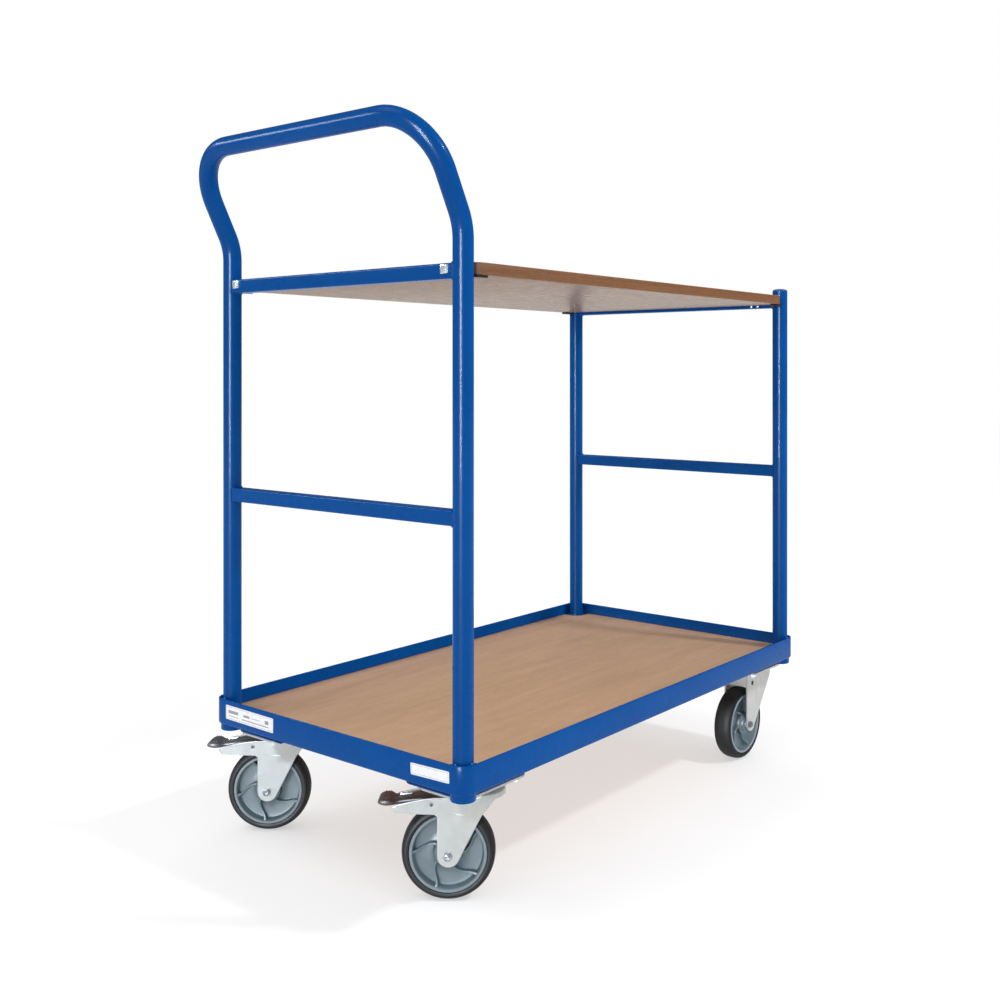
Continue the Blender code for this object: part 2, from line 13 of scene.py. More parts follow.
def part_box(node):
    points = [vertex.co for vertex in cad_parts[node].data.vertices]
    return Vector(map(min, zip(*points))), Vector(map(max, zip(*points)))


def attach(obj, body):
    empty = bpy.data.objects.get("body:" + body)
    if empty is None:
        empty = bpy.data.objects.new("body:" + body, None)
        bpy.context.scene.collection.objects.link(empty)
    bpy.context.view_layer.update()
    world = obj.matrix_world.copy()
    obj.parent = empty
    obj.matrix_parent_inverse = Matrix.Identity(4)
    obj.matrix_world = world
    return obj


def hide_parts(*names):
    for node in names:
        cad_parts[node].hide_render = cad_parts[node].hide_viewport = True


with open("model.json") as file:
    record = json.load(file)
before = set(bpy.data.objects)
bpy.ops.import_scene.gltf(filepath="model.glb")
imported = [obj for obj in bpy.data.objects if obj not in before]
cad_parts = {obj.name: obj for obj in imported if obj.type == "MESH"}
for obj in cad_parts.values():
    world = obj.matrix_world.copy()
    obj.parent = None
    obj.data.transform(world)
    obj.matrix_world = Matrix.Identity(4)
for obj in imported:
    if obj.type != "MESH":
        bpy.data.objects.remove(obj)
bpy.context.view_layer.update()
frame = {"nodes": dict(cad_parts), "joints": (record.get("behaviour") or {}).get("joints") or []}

STEEL = 0.003
RIM_RADIUS = 0.0205
FLANGE = 0.030
TUBE_R = 0.01345
TUBE_WALL = 0.002
SOCKET_R = 0.0166
RAIL_HALF = 0.010
WHEEL_R = 0.0625
FORK_OUT = 0.0235
# The radius at which a solid turned shape starts, in place of zero.
AXIS = 0.0001
POST_INSET = 0.020
CORNERS = (("handle_left", -1, 1), ("handle_right", -1, -1), ("front_left", 1, 1), ("front_right", 1, -1))
ROOT = "trolley_frame"

# Edges sharper than this stay sharp, and points nearer than this are one.
SMOOTH_ANGLE = 35.0
SAME_POINT = 1e-6
# A face whose normal points up or down by more than this is a board's flat face.
LEVEL = 0.9

# Places read from the frame.
RIM_LOW, RIM_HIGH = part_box("deck_frame")
DECK = (RIM_LOW + RIM_HIGH) / 2
HALF_L = (RIM_HIGH.x - RIM_LOW.x) / 2
HALF_W = (RIM_HIGH.y - RIM_LOW.y) / 2
POST_X = HALF_L - POST_INSET
POST_Y = HALF_W - POST_INSET
HANDLE_LOW, HANDLE_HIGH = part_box("push_handle")
GRIP_X = HANDLE_LOW.x + TUBE_R - DECK.x
GRIP_Z = HANDLE_HIGH.z - TUBE_R


# ---------------------------------------------------------------- mesh helpers

def link(name, mesh):
    obj = bpy.data.objects.new(name, mesh)
    bpy.context.scene.collection.objects.link(obj)
    return obj


def shade(obj, angle=SMOOTH_ANGLE):
    obj.data.shade_smooth()
    obj.data.set_sharp_from_angle(angle=math.radians(angle))
    return obj


def clean(mesh, turn_out=False, join_flat=False):
    """Joins doubled points; on request turns the normals out, or joins the triangles of flat faces."""
    bm = bmesh.new()
    bm.from_mesh(mesh)
    bmesh.ops.remove_doubles(bm, verts=bm.verts, dist=SAME_POINT)
    if turn_out:
        bmesh.ops.recalc_face_normals(bm, faces=bm.faces)
    if join_flat:
        bmesh.ops.dissolve_limit(bm, angle_limit=math.radians(1.0), verts=bm.verts, edges=bm.edges)
    bm.to_mesh(mesh)
    bm.free()


def moved(obj, matrix):
    """The object with its mesh placed by a matrix."""
    obj.data.transform(matrix)
    obj.data.update()
    return obj


def from_faces(name, verts, faces, smooth=SMOOTH_ANGLE):
    """A mesh object from points and polygons, its normals facing out."""
    mesh = bpy.data.meshes.new(name)
    mesh.from_pydata([tuple(v) for v in verts], [], faces)
    clean(mesh, turn_out=True)
    return shade(link(name, mesh), smooth)


def settle(obj):
    """The object's evaluated shape as a plain mesh at the origin."""
    bpy.context.view_layer.update()
    graph = bpy.context.evaluated_depsgraph_get()
    mesh = bpy.data.meshes.new_from_object(obj.evaluated_get(graph))
    mesh.transform(obj.matrix_world)
    name = obj.name
    clean(mesh)
    bpy.data.objects.remove(obj, do_unlink=True)
    return shade(link(name, mesh))


def bevel(obj, width, segments=2, angle=SMOOTH_ANGLE):
    modifier = obj.modifiers.new("edges", "BEVEL")
    modifier.width = width
    modifier.segments = segments
    modifier.limit_method = "ANGLE"
    modifier.angle_limit = math.radians(angle)
    return settle(obj)


def merge(name, objs):
    """Several mesh objects as one."""
    bm = bmesh.new()
    for obj in objs:
        mesh = obj.data
        mesh.transform(obj.matrix_world)
        bm.from_mesh(mesh)
        bpy.data.objects.remove(obj, do_unlink=True)
    mesh = bpy.data.meshes.new(name)
    bm.to_mesh(mesh)
    bm.free()
    return shade(link(name, mesh))


def loft(name, rings, closed_path=False, caps=True, smooth=SMOOTH_ANGLE):
    """A skin over rings of equal point counts."""
    count = len(rings[0])
    verts = [p for ring in rings for p in ring]
    faces = []
    spans = len(rings) if closed_path else len(rings) - 1
    for i in range(spans):
        a = i * count
        b = ((i + 1) % len(rings)) * count
        for j in range(count):
            k = (j + 1) % count
            faces.append((a + j, a + k, b + k, b + j))
    if caps and not closed_path:
        faces.append(tuple(range(count)))
        faces.append(tuple(range((len(rings) - 1) * count, len(rings) * count)))
    return from_faces(name, verts, faces, smooth)


def angles(count):
    """Even steps once round, in radians."""
    return [math.tau * i / count for i in range(count)]


def turned(name, profile, steps=64, matrix=None):
    """A closed (radius, height) profile turned about Z, then placed by a matrix."""
    rings = [[Vector((r * math.cos(a), r * math.sin(a), z)) for r, z in profile] for a in angles(steps)]
    obj = loft(name, rings, closed_path=True)
    return obj if matrix is None else moved(obj, matrix)


def arc(cx, cy, radius, start, end, steps):
    points = []
    for i in range(steps + 1):
        a = math.radians(start + (end - start) * i / steps)
        points.append((cx + radius * math.cos(a), cy + radius * math.sin(a)))
    return points


def circle(cx, cy, radius, steps=32):
    return arc(cx, cy, radius, 0, 360 * (steps - 1) / steps, steps - 1)


def round_rectangle(half_x, half_y, radius, steps=8):
    points = []
    for sx, sy, start in ((1, 1, 0), (-1, 1, 90), (-1, -1, 180), (1, -1, 270)):
        points += arc(sx * (half_x - radius), sy * (half_y - radius), radius, start, start + 90, steps)
    return points


def plate(name, outlines, low, high, edge=0.0005, matrix=None):
    """A flat sheet with softened edges; outlines after the first are holes."""
    curve = bpy.data.curves.new(name, "CURVE")
    curve.dimensions = "2D"
    curve.fill_mode = "BOTH"
    curve.extrude = (high - low) / 2 - edge
    curve.bevel_depth = edge
    curve.bevel_resolution = 1
    curve.offset = -edge
    for outline in outlines:
        spline = curve.splines.new("POLY")
        spline.points.add(len(outline) - 1)
        for point, (x, y) in zip(spline.points, outline):
            point.co = (x, y, 0.0, 1.0)
        spline.use_cyclic_u = True
    obj = link(name, curve)
    obj.location.z = (low + high) / 2
    obj = settle(obj)
    return obj if matrix is None else moved(obj, matrix)


def round_section(centre, radius, across, up, sides):
    return [centre + radius * (math.cos(a) * across + math.sin(a) * up) for a in angles(sides)]


def sweep(name, path, radius, sides):
    """A round bar along a path of points, with parallel-carried sections."""
    path = [Vector(p) for p in path]
    tangents = []
    for i in range(len(path)):
        before = path[max(i - 1, 0)]
        after = path[min(i + 1, len(path) - 1)]
        tangents.append((after - before).normalized())
    normal = tangents[0].orthogonal().normalized()
    rings = []
    for i, point in enumerate(path):
        if i:
            normal = tangents[i - 1].rotation_difference(tangents[i]) @ normal
        side = tangents[i].cross(normal).normalized()
        rings.append(round_section(point, radius, normal, side, sides))
    return loft(name, rings)


def bead(name, points, radius, seed=0):
    """A weld bead along a closed loop, with the ripple of a run of weld."""
    path = [Vector(p) for p in points]
    rings = []
    count = len(path)
    for i, point in enumerate(path):
        tangent = (path[(i + 1) % count] - path[i - 1]).normalized()
        up = Vector((0.0, 0.0, 1.0))
        if abs(tangent.z) > 0.9:
            up = Vector((1.0, 0.0, 0.0))
        side = tangent.cross(up).normalized()
        other = side.cross(tangent).normalized()
        r = radius * (1.0 + 0.16 * math.sin(2.1 * i + seed) + 0.05 * math.sin(0.7 * i + 2 * seed))
        rings.append(round_section(point, r, side, other, 10))
    return loft(name, rings, closed_path=True, smooth=80.0)


def hexagon(name, across, low, high, matrix, washer=0.0):
    """A hexagon head or nut whose top corners are turned off, on an optional washer."""
    chamfer = 0.0007
    inner = across / 2
    outer = inner / math.cos(math.radians(30))
    sides = []
    for a in angles(48):
        local = math.radians((math.degrees(a) % 60) - 30)
        sides.append((a, inner / math.cos(local)))

    def ring(pick, z):
        return [Vector((pick(r) * math.cos(a), pick(r) * math.sin(a), z(r))) for a, r in sides]

    drop = chamfer / (outer - inner)
    rings = [
        ring(lambda r: AXIS, lambda r: low),
        ring(lambda r: r, lambda r: low),
        ring(lambda r: r, lambda r: high - chamfer * 0.15 - (r - inner) * drop),
        ring(lambda r: inner * 0.97, lambda r: high),
        ring(lambda r: AXIS, lambda r: high),
    ]
    parts = [loft(name, rings, smooth=25.0)]
    if washer > 0:
        disc = [(washer, low), (washer, low - 0.0010), (washer - 0.0003, low - 0.0013),
                (AXIS, low - 0.0013), (AXIS, low)]
        parts.append(turned(name + "_washer", disc, 48))
    return moved(merge(name, parts), matrix)


def along(origin, direction):
    """A matrix that takes Z to a direction at a place."""
    z = Vector(direction).normalized()
    return Matrix.Translation(origin) @ z.to_track_quat("Z", "Y").to_matrix().to_4x4()


def upright(place, turn):
    """A matrix that stands a flat outline up at a place and turns it about Z."""
    return Matrix.Translation(place) @ Matrix.Rotation(turn, 4, "Z") @ Matrix.Rotation(math.pi / 2, 4, "X")


# ---------------------------------------------------------------- materials

def feed(tree, socket, value):
    """Links a socket to another one, or sets its value."""
    if isinstance(value, bpy.types.NodeSocket):
        tree.links.new(value, socket)
    else:
        socket.default_value = value


def add_node(tree, kind, output, **inputs):
    """One output of a new node whose inputs are set or linked."""
    node = tree.nodes.new("ShaderNode" + kind)
    for key, value in inputs.items():
        feed(tree, node.inputs[key], value)
    return node.outputs[output]


class Shader:
    """A few short hands over one material's node tree."""

    def __init__(self, name):
        self.material = bpy.data.materials.new(name)
        self.material.use_nodes = True
        self.tree = self.material.node_tree
        self.out = self.tree.nodes["Principled BSDF"]
        self.coords = add_node(self.tree, "TexCoord", "Object")

    def stretched(self, scale):
        return add_node(self.tree, "Mapping", "Vector", Vector=self.coords, Scale=scale)

    def noise(self, scale, detail=3.0, roughness=0.55, vector=None, distortion=0.0):
        return add_node(self.tree, "TexNoise", "Fac", Vector=vector or self.coords, Scale=scale,
                        Detail=detail, Roughness=roughness, Distortion=distortion)

    def ramp(self, fac, stops):
        node = self.tree.nodes.new("ShaderNodeValToRGB")
        feed(self.tree, node.inputs["Fac"], fac)
        elements = node.color_ramp.elements
        while len(elements) < len(stops):
            elements.new(0.5)
        for element, (place, value) in zip(elements, stops):
            element.position = place
            if isinstance(value, (int, float)):
                value = (value, value, value)
            element.color = (*value, 1.0)
        return node.outputs["Color"]

    def mix(self, fac, a, b, blend="MIX"):
        node = self.tree.nodes.new("ShaderNodeMix")
        node.data_type = "RGBA"
        node.blend_type = blend
        colours = [s for s in node.inputs if s.type == "RGBA"]
        feed(self.tree, node.inputs[0], fac)
        for socket, value in zip(colours, (a, b)):
            if isinstance(value, tuple):
                value = (*value, 1.0)
            feed(self.tree, socket, value)
        return [s for s in node.outputs if s.type == "RGBA"][0]

    def bump(self, height, strength, distance, **below):
        """A bump; `Normal` may name the one it lies on."""
        return add_node(self.tree, "Bump", "Normal", Height=height, Strength=strength, Distance=distance,
                        **below)

    def set(self, **values):
        for key, value in values.items():
            if isinstance(value, tuple) and len(value) == 3:
                value = (*value, 1.0)
            feed(self.tree, self.out.inputs[key.replace("_", " ")], value)
        return self.material


def powder_coat(name, deep, light):
    """Glossy powder coat: faint orange peel and a little unevenness in its colour. The frame's blue is made
    with it, and so are a painted glint and a painted shade.
    """
    s = Shader(name)
    drift = s.noise(7.0, 3.0)
    colour = s.ramp(drift, [(0.3, deep), (0.72, light)])
    peel = s.noise(620.0, 2.0, 0.5)
    slow = s.noise(120.0, 2.0, 0.5)
    rough = s.ramp(s.noise(40.0, 4.0, 0.6), [(0.3, 0.25), (0.75, 0.31)])
    normal = s.bump(slow, 0.010, 0.0003, Normal=s.bump(peel, 0.05, 0.0001))
    return s.set(Base_Color=colour, Roughness=rough, Normal=normal, Specular_IOR_Level=0.045,
                 Coat_Weight=0.05, Coat_Roughness=0.08)


def beech_face(name, light, dark, gloss, shine):
    """Printed beech: long soft figure along X and short dark flecks."""
    s = Shader(name)
    figure = s.noise(5.0, 5.0, 0.6, s.stretched((1.0, 9.0, 9.0)), 0.6)
    fine = s.noise(42.0, 3.0, 0.6, s.stretched((1.0, 14.0, 14.0)))
    fleck = s.noise(230.0, 2.0, 0.5, s.stretched((0.22, 2.2, 2.2)))
    base = s.ramp(figure, [(0.30, dark), (0.70, light)])
    grain = s.ramp(fine, [(0.35, 0.80), (0.65, 1.0)])
    spots = s.ramp(fleck, [(0.26, 0.72), (0.38, 1.0)])
    colour = s.mix(0.55, base, s.mix(1.0, base, grain, "MULTIPLY"))
    colour = s.mix(0.6, colour, s.mix(1.0, colour, spots, "MULTIPLY"))
    rough = s.ramp(s.noise(60.0, 3.0), [(0.3, gloss - 0.05), (0.7, gloss + 0.08)])
    return s.set(Base_Color=colour, Roughness=rough, Normal=s.bump(fleck, 0.05, 0.0001),
                 Specular_IOR_Level=shine)


def board_edge(name, light, dark):
    """The cut edge of a film-faced board: brown, with thin plies running along it."""
    s = Shader(name)
    plies = s.noise(1.0, 2.0, 0.4, s.stretched((6.0, 6.0, 820.0)))
    grain = s.noise(120.0, 4.0, 0.6, s.stretched((1.0, 1.0, 6.0)))
    colour = s.mix(0.5, s.ramp(plies, [(0.35, dark), (0.65, light)]),
                   s.ramp(grain, [(0.35, dark), (0.70, light)]))
    rough = s.ramp(grain, [(0.3, 0.48), (0.7, 0.68)])
    return s.set(Base_Color=colour, Roughness=rough, Normal=s.bump(grain, 0.3, 0.0003))


def zinc(name, light=(0.545, 0.55, 0.535), dark=(0.47, 0.475, 0.462), rough=(0.34, 0.46), metal=0.12):
    """Zinc-plated pressed steel: cloudy plating with a faint warm and blue cast."""
    s = Shader(name)
    cloud = s.noise(28.0, 5.0, 0.62, None, 0.8)
    spangle = s.noise(260.0, 3.0, 0.6)
    tint = s.ramp(s.noise(14.0, 2.0), [(0.35, (0.97, 0.99, 1.0)), (0.65, (1.0, 0.99, 0.975))])
    base = s.ramp(cloud, [(0.28, dark), (0.70, light)])
    colour = s.mix(1.0, base, tint, "MULTIPLY")
    roughness = s.ramp(s.noise(70.0, 4.0, 0.6), [(0.3, rough[0]), (0.7, rough[1])])
    normal = s.bump(spangle, 0.06, 0.0002)
    return s.set(Base_Color=colour, Roughness=roughness, Normal=normal, Metallic=metal,
                 Specular_IOR_Level=0.25)


def rubber(name):
    """Near-black tyre rubber, dusty brown in patches and finely pitted."""
    s = Shader(name)
    dust = s.noise(38.0, 5.0, 0.65)
    pits = s.noise(900.0, 2.0, 0.5)
    colour = s.ramp(dust, [(0.35, (0.007, 0.0066, 0.0074)), (0.75, (0.015, 0.0138, 0.0147))])
    rough = s.ramp(dust, [(0.3, 0.50), (0.7, 0.72)])
    return s.set(Base_Color=colour, Roughness=rough, Normal=s.bump(pits, 0.25, 0.0002),
                 Specular_IOR_Level=0.22)


def moulded(name, low, high, rough=(0.38, 0.55)):
    """Moulded plastic: gentle flow variation and fine spark-eroded grain."""
    s = Shader(name)
    flow = s.noise(22.0, 4.0, 0.6, None, 0.5)
    texture = s.noise(420.0, 2.0, 0.5)
    colour = s.ramp(flow, [(0.3, low), (0.72, high)])
    roughness = s.ramp(s.noise(80.0, 3.0), [(0.3, rough[0]), (0.7, rough[1])])
    return s.set(Base_Color=colour, Roughness=roughness, Normal=s.bump(texture, 0.16, 0.0003))


def label_print(name):
    """White film with a very faint mottle."""
    s = Shader(name)
    mottle = s.noise(160.0, 3.0)
    colour = s.ramp(mottle, [(0.3, (0.80, 0.81, 0.84)), (0.7, (0.88, 0.89, 0.91))])
    rough = s.ramp(mottle, [(0.3, 0.26), (0.7, 0.36)])
    return s.set(Base_Color=colour, Roughness=rough)


def floor_paint(name):
    s = Shader(name)
    tone = s.ramp(s.noise(3.0, 2.0), [(0.3, (0.50, 0.50, 0.505)), (0.7, (0.52, 0.52, 0.52))])
    return s.set(Base_Color=tone, Roughness=0.8, Emission_Color=(1.0, 1.0, 1.0), Emission_Strength=0.50,
                 Specular_IOR_Level=0.1)


BLUE = powder_coat("blue_powder_coat", (0.0001, 0.062, 0.262), (0.0002, 0.073, 0.300))
# A lighter blue for the weld drops: a painted glint on the tack welds, not a colour of the coat.
PAINTED_GLINT_BLUE = powder_coat("weld_glint", (0.10, 0.20, 0.42), (0.20, 0.32, 0.58))
# Near-black brown for the shelf lugs, which are blue-painted steel: painted shade under the shelf.
LUG_PAINTED_SHADE = powder_coat("shaded_powder_coat", (0.022, 0.016, 0.018), (0.032, 0.024, 0.026))
BEECH = beech_face("beech_film", (0.575, 0.362, 0.222), (0.495, 0.308, 0.186), 0.42, 0.3)
# A darker, duller copy of the beech film for the shelf's downward faces: painted shade.
SHELF_UNDERSIDE_PAINTED_SHADE = beech_face("beech_underside", (0.290, 0.185, 0.118), (0.250, 0.158, 0.100), 0.30, 0.10)
EDGE = board_edge("board_edge", (0.22, 0.080, 0.010), (0.130, 0.042, 0.006))
DARK_EDGE = board_edge("lower_board_edge", (0.24, 0.060, 0.022), (0.12, 0.030, 0.012))
ZINC = zinc("zinc_plating")
AXLE = zinc("axle_plating", (0.40, 0.42, 0.43), (0.26, 0.28, 0.29), (0.20, 0.32), 0.60)
BRIGHT = zinc("bright_fastener", (0.78, 0.79, 0.80), (0.64, 0.66, 0.68), (0.18, 0.30), 0.70)
HUB = moulded("hub_plastic", (0.112, 0.166, 0.194), (0.138, 0.196, 0.225))
# A dark copy of the hub plastic for the crease round the boss: painted shade.
HUB_CREASE_PAINTED_SHADE = moulded("hub_crease_plastic", (0.030, 0.045, 0.052), (0.045, 0.062, 0.070))
# A lighter, glossier copy of the hub plastic for the hub's rim faces: painted light on the open face,
# against the recessed web.
HUB_RIM_PAINTED_LIGHT = moulded("hub_ring_plastic", (0.185, 0.235, 0.27), (0.23, 0.28, 0.315), (0.28, 0.42))
RUBBER = rubber("tyre_rubber")
PEDAL = moulded("pedal_plastic", (0.085, 0.088, 0.090), (0.12, 0.122, 0.124), (0.35, 0.5))
PEDAL_BROWN = moulded("pedal_plastic_warm", (0.075, 0.045, 0.032), (0.11, 0.070, 0.052), (0.35, 0.5))
CAP = moulded("cap_plastic", (0.004, 0.070, 0.26), (0.006, 0.085, 0.31), (0.3, 0.42))
LABEL = label_print("label_film")
LABEL_INK = moulded("label_ink", (0.24, 0.22, 0.25), (0.34, 0.32, 0.35), (0.4, 0.5))
# Near-black for holes, slots and hollows drawn as flat patches: painted shade inside them.
PAINTED_RECESS_SHADE = moulded("dark_recess", (0.010, 0.010, 0.011), (0.018, 0.018, 0.019), (0.6, 0.8))


def coat(obj, *materials):
    obj.data.materials.clear()
    for material in materials:
        obj.data.materials.append(material)


def coat_faces(obj, pick, *materials):
    """Several finishes; `pick` tells from a face which of them it takes."""
    coat(obj, *materials)
    for poly in obj.data.polygons:
        poly.material_index = pick(poly)


def finish_piece(obj, name, material, slot, body, *nodes):
    """Name a piece, give it its finish and ride it on its body."""
    obj.name = name
    obj.data.name = name
    if material is not None:
        coat(obj, material)
    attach(obj, body)
    if nodes:
        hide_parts(*nodes)
    return obj


def painted(obj, name, *nodes):
    """A blue piece of the frame."""
    return finish_piece(obj, name, BLUE, "blue_paint", ROOT, *nodes)


# ---------------------------------------------------------------- frame and decks

def deck_at(x, y, z):
    return Vector((DECK.x + x, DECK.y + y, z))


def difference(obj, cutter):
    modifier = obj.modifiers.new("cut", "BOOLEAN")
    modifier.operation = "DIFFERENCE"
    modifier.solver = "EXACT"
    modifier.object = cutter
    result = settle(obj)
    bpy.data.objects.remove(cutter, do_unlink=True)
    return result


def block(name, low, high):
    x0, y0, z0 = low
    x1, y1, z1 = high
    ring = [(x0, y0), (x1, y0), (x1, y1), (x0, y1)]
    return loft(name, [[Vector((x, y, z)) for x, y in ring] for z in (z0, z1)])


ON_DECK = Matrix.Translation(deck_at(0, 0, 0))


def flat_ring(outline, z):
    return [deck_at(x, y, z) for x, y in outline]


def make_deck_frame():
    low, high = RIM_LOW.z, RIM_HIGH.z
    inside = RIM_RADIUS - STEEL
    # (distance in from the outline, corner radius, height), from the top edge down and back up inside
    edge, toe, soft = 0.0008, 0.0035, 0.3
    steps = [
        (edge, RIM_RADIUS - edge, high),
        (soft * edge, RIM_RADIUS - soft * edge, high - soft * edge),
        (0.0, RIM_RADIUS, high - edge),
        (0.0, RIM_RADIUS, low + toe),
        (soft * toe, RIM_RADIUS - soft * toe, low + soft * toe),
        (toe, RIM_RADIUS - toe, low),
        (FLANGE, 0.004, low),
        (FLANGE, 0.004, low + STEEL),
        (STEEL + 0.002, inside - 0.002, low + STEEL),
        (STEEL, inside, low + STEEL + 0.002),
        (STEEL, inside, high - edge),
        (STEEL - soft * edge, inside + soft * edge, high - soft * edge),
        (STEEL - edge, inside + edge, high),
        (edge, RIM_RADIUS - edge, high),
    ]
    rings = [flat_ring(round_rectangle(HALF_L - inset, HALF_W - inset, radius, 10), z)
             for inset, radius, z in steps]
    painted(loft("deck_rim", rings, caps=False, smooth=50.0), "deck_rim", "deck_frame")


def make_sockets():
    """Turned sockets with two weld beads each, and a drop at the top of each bead in a lighter blue, a
    painted glint.
    """
    for name, sx, sy in CORNERS:
        low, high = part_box("corner_socket_" + name)
        r = SOCKET_R
        profile = [
            (r - 0.0008, high.z), (r - 0.0002, high.z - 0.0003), (r, high.z - 0.0010),
            (r, low.z + 0.0012), (r - 0.0004, low.z + 0.0004), (r - 0.0012, low.z),
            (TUBE_R + 0.0004, low.z), (TUBE_R + 0.0004, high.z),
        ]
        drop = [(AXIS, 0.0011), (0.0006, 0.0010), (0.0010, 0.0006), (0.0013, 0.0), (AXIS, 0.0)]
        centre = deck_at(sx * POST_X, sy * POST_Y, 0.0)
        parts = [turned("socket", profile, 64, Matrix.Translation(centre))]
        drops = []
        for seed, (dx, dy) in enumerate(((sx, 0.0), (0.0, sy))):
            side = Vector((dy, dx, 0.0)).normalized()
            out = Vector((dx, dy, 0.0))
            foot = []
            for a in angles(40):
                spot = centre + out * (TUBE_R + 0.0018 + 0.0011 * math.cos(a))
                spot += side * 0.0070 * math.sin(a)
                spot.z = RIM_HIGH.z - 0.0014
                foot.append(spot)
            parts.append(bead("bead", foot, 0.0011, seed + sx + 2 * sy))
            spot = centre + out * (TUBE_R + 0.0012)
            spot.z = RIM_HIGH.z - 0.0002
            drops.append(turned("drop", drop, 20, along(spot, (dx, dy, 1.0))))
        painted(merge("socket", parts), "socket_" + name, "corner_socket_" + name)
        # The drops take the lighter blue: a painted glint.
        finish_piece(merge("drops", drops), "weld_drops_" + name, PAINTED_GLINT_BLUE, "blue_paint", ROOT)


def make_deck_board():
    low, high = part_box("deck_board")
    hx, hy = (high.x - low.x) / 2, (high.y - low.y) / 2
    notch, cut = 0.0356, 0.010
    outline = []
    for sx, sy in ((1, 1), (-1, 1), (-1, -1), (1, -1)):
        corner = [(sx * hx, sy * (hy - notch)), (sx * (hx - notch + cut), sy * (hy - notch)),
                  (sx * (hx - notch), sy * (hy - notch + cut)), (sx * (hx - notch), sy * hy)]
        if sx * sy < 0:
            corner.reverse()
        outline += corner
    board = plate("board", [outline], low.z, high.z, 0.0006, ON_DECK)
    coat_faces(board, lambda face: int(abs(face.normal.z) <= LEVEL), BEECH, DARK_EDGE)
    finish_piece(board, "lower_board", None, "beech_board", ROOT, "deck_board")
    # A thin dark brown strip lies on the board's top along its border, where the board meets the rim.
    line = 0.0016
    rim = round_rectangle(hx - 0.0002, hy - 0.0002, 0.004, 6)
    inner = round_rectangle(hx - line, hy - line, 0.003, 6)
    seam = plate("seam", [rim, inner], high.z - 0.0004, high.z + 0.0002, 0.00005, ON_DECK)
    for _, sx, sy in CORNERS:
        x_pair = sorted((sx * (hx - notch - 0.001), sx * (hx + 0.01)))
        y_pair = sorted((sy * (hy - notch - 0.001), sy * (hy + 0.01)))
        cutter = block("cutter", deck_at(x_pair[0], y_pair[0], high.z - 0.01),
                       deck_at(x_pair[1], y_pair[1], high.z + 0.01))
        seam = difference(seam, cutter)
    finish_piece(seam, "lower_board_seam", DARK_EDGE, "beech_board", ROOT)


def make_channels():
    for name, sx, sy in CORNERS:
        low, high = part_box("castor_channel_" + name)
        half = (high.y - low.y) / 2
        outer_r = 0.0045
        section = [(-half, high.z), (-half, low.z + outer_r)]
        section += arc(-half + outer_r, low.z + outer_r, outer_r, 180, 270, 5)[1:]
        section += arc(half - outer_r, low.z + outer_r, outer_r, 270, 360, 5)
        section += [(half, high.z), (half - STEEL, high.z)]
        inner_r = outer_r - STEEL + 0.0006
        section += arc(half - STEEL - inner_r, low.z + STEEL + inner_r, inner_r, 0, -90, 4)
        section += arc(-half + STEEL + inner_r, low.z + STEEL + inner_r, inner_r, -90, -180, 4)
        section += [(-half + STEEL, high.z)]
        mid = (low.y + high.y) / 2
        wall = [(-half + 0.0002, low.z + 0.002), (half - 0.0002, low.z + 0.002),
                (half - 0.0002, high.z - 0.0003), (-half + 0.0002, high.z - 0.0003)]
        end_x = (low.x, low.x + STEEL) if sx < 0 else (high.x - STEEL, high.x)
        disc = circle(sx * POST_X, sy * POST_Y, SOCKET_R + 0.001, 48)
        relief_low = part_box("corner_socket_" + name)[0].z - 0.001
        parts = []
        for outline, reach, edge in ((section, (low.x, high.x), 0.0005), (wall, end_x, 0.0004)):
            part = loft("channel", [[Vector((x, mid + y, z)) for y, z in outline] for x in reach])
            cutter = plate("cutter", [disc], relief_low, high.z + 0.01, 0.0001, ON_DECK)
            part = difference(part, cutter)
            clean(part.data, join_flat=True)
            parts.append(bevel(part, edge))
        painted(merge("channel", parts), "channel_" + name, "castor_channel_" + name)


def handle_half():
    """Half of the handle's centre line in the deck's own x, inward y and z."""
    lean = math.radians(27.0)
    start = 0.8834
    bend = 0.080
    foot = HANDLE_LOW.z
    path = [(-POST_X, 0.0, foot), (-POST_X, 0.0, 0.45), (-POST_X, 0.0, 0.70)]
    tangent = bend * math.tan(lean / 2)
    for i in range(13):
        a = lean * i / 12
        path.append((-POST_X - bend + bend * math.cos(a), 0.0, start - tangent + bend * math.sin(a)))
    slope = math.hypot(GRIP_X + POST_X, GRIP_Z - start)
    back = (-math.sin(lean), math.cos(lean))
    for i in range(25):
        a = math.pi / 2 * i / 24
        run = slope - bend * (1 - math.sin(a))
        path.append((-POST_X + back[0] * run, bend * (1 - math.cos(a)), start + back[1] * run))
    return path


def make_handle():
    half = handle_half()
    path = [deck_at(x, POST_Y - y, z) for x, y, z in half]
    path += [deck_at(x, -(POST_Y - y), z) for x, y, z in reversed(half)]
    painted(sweep("handle", path, TUBE_R, 48), "handle_tube", "push_handle")


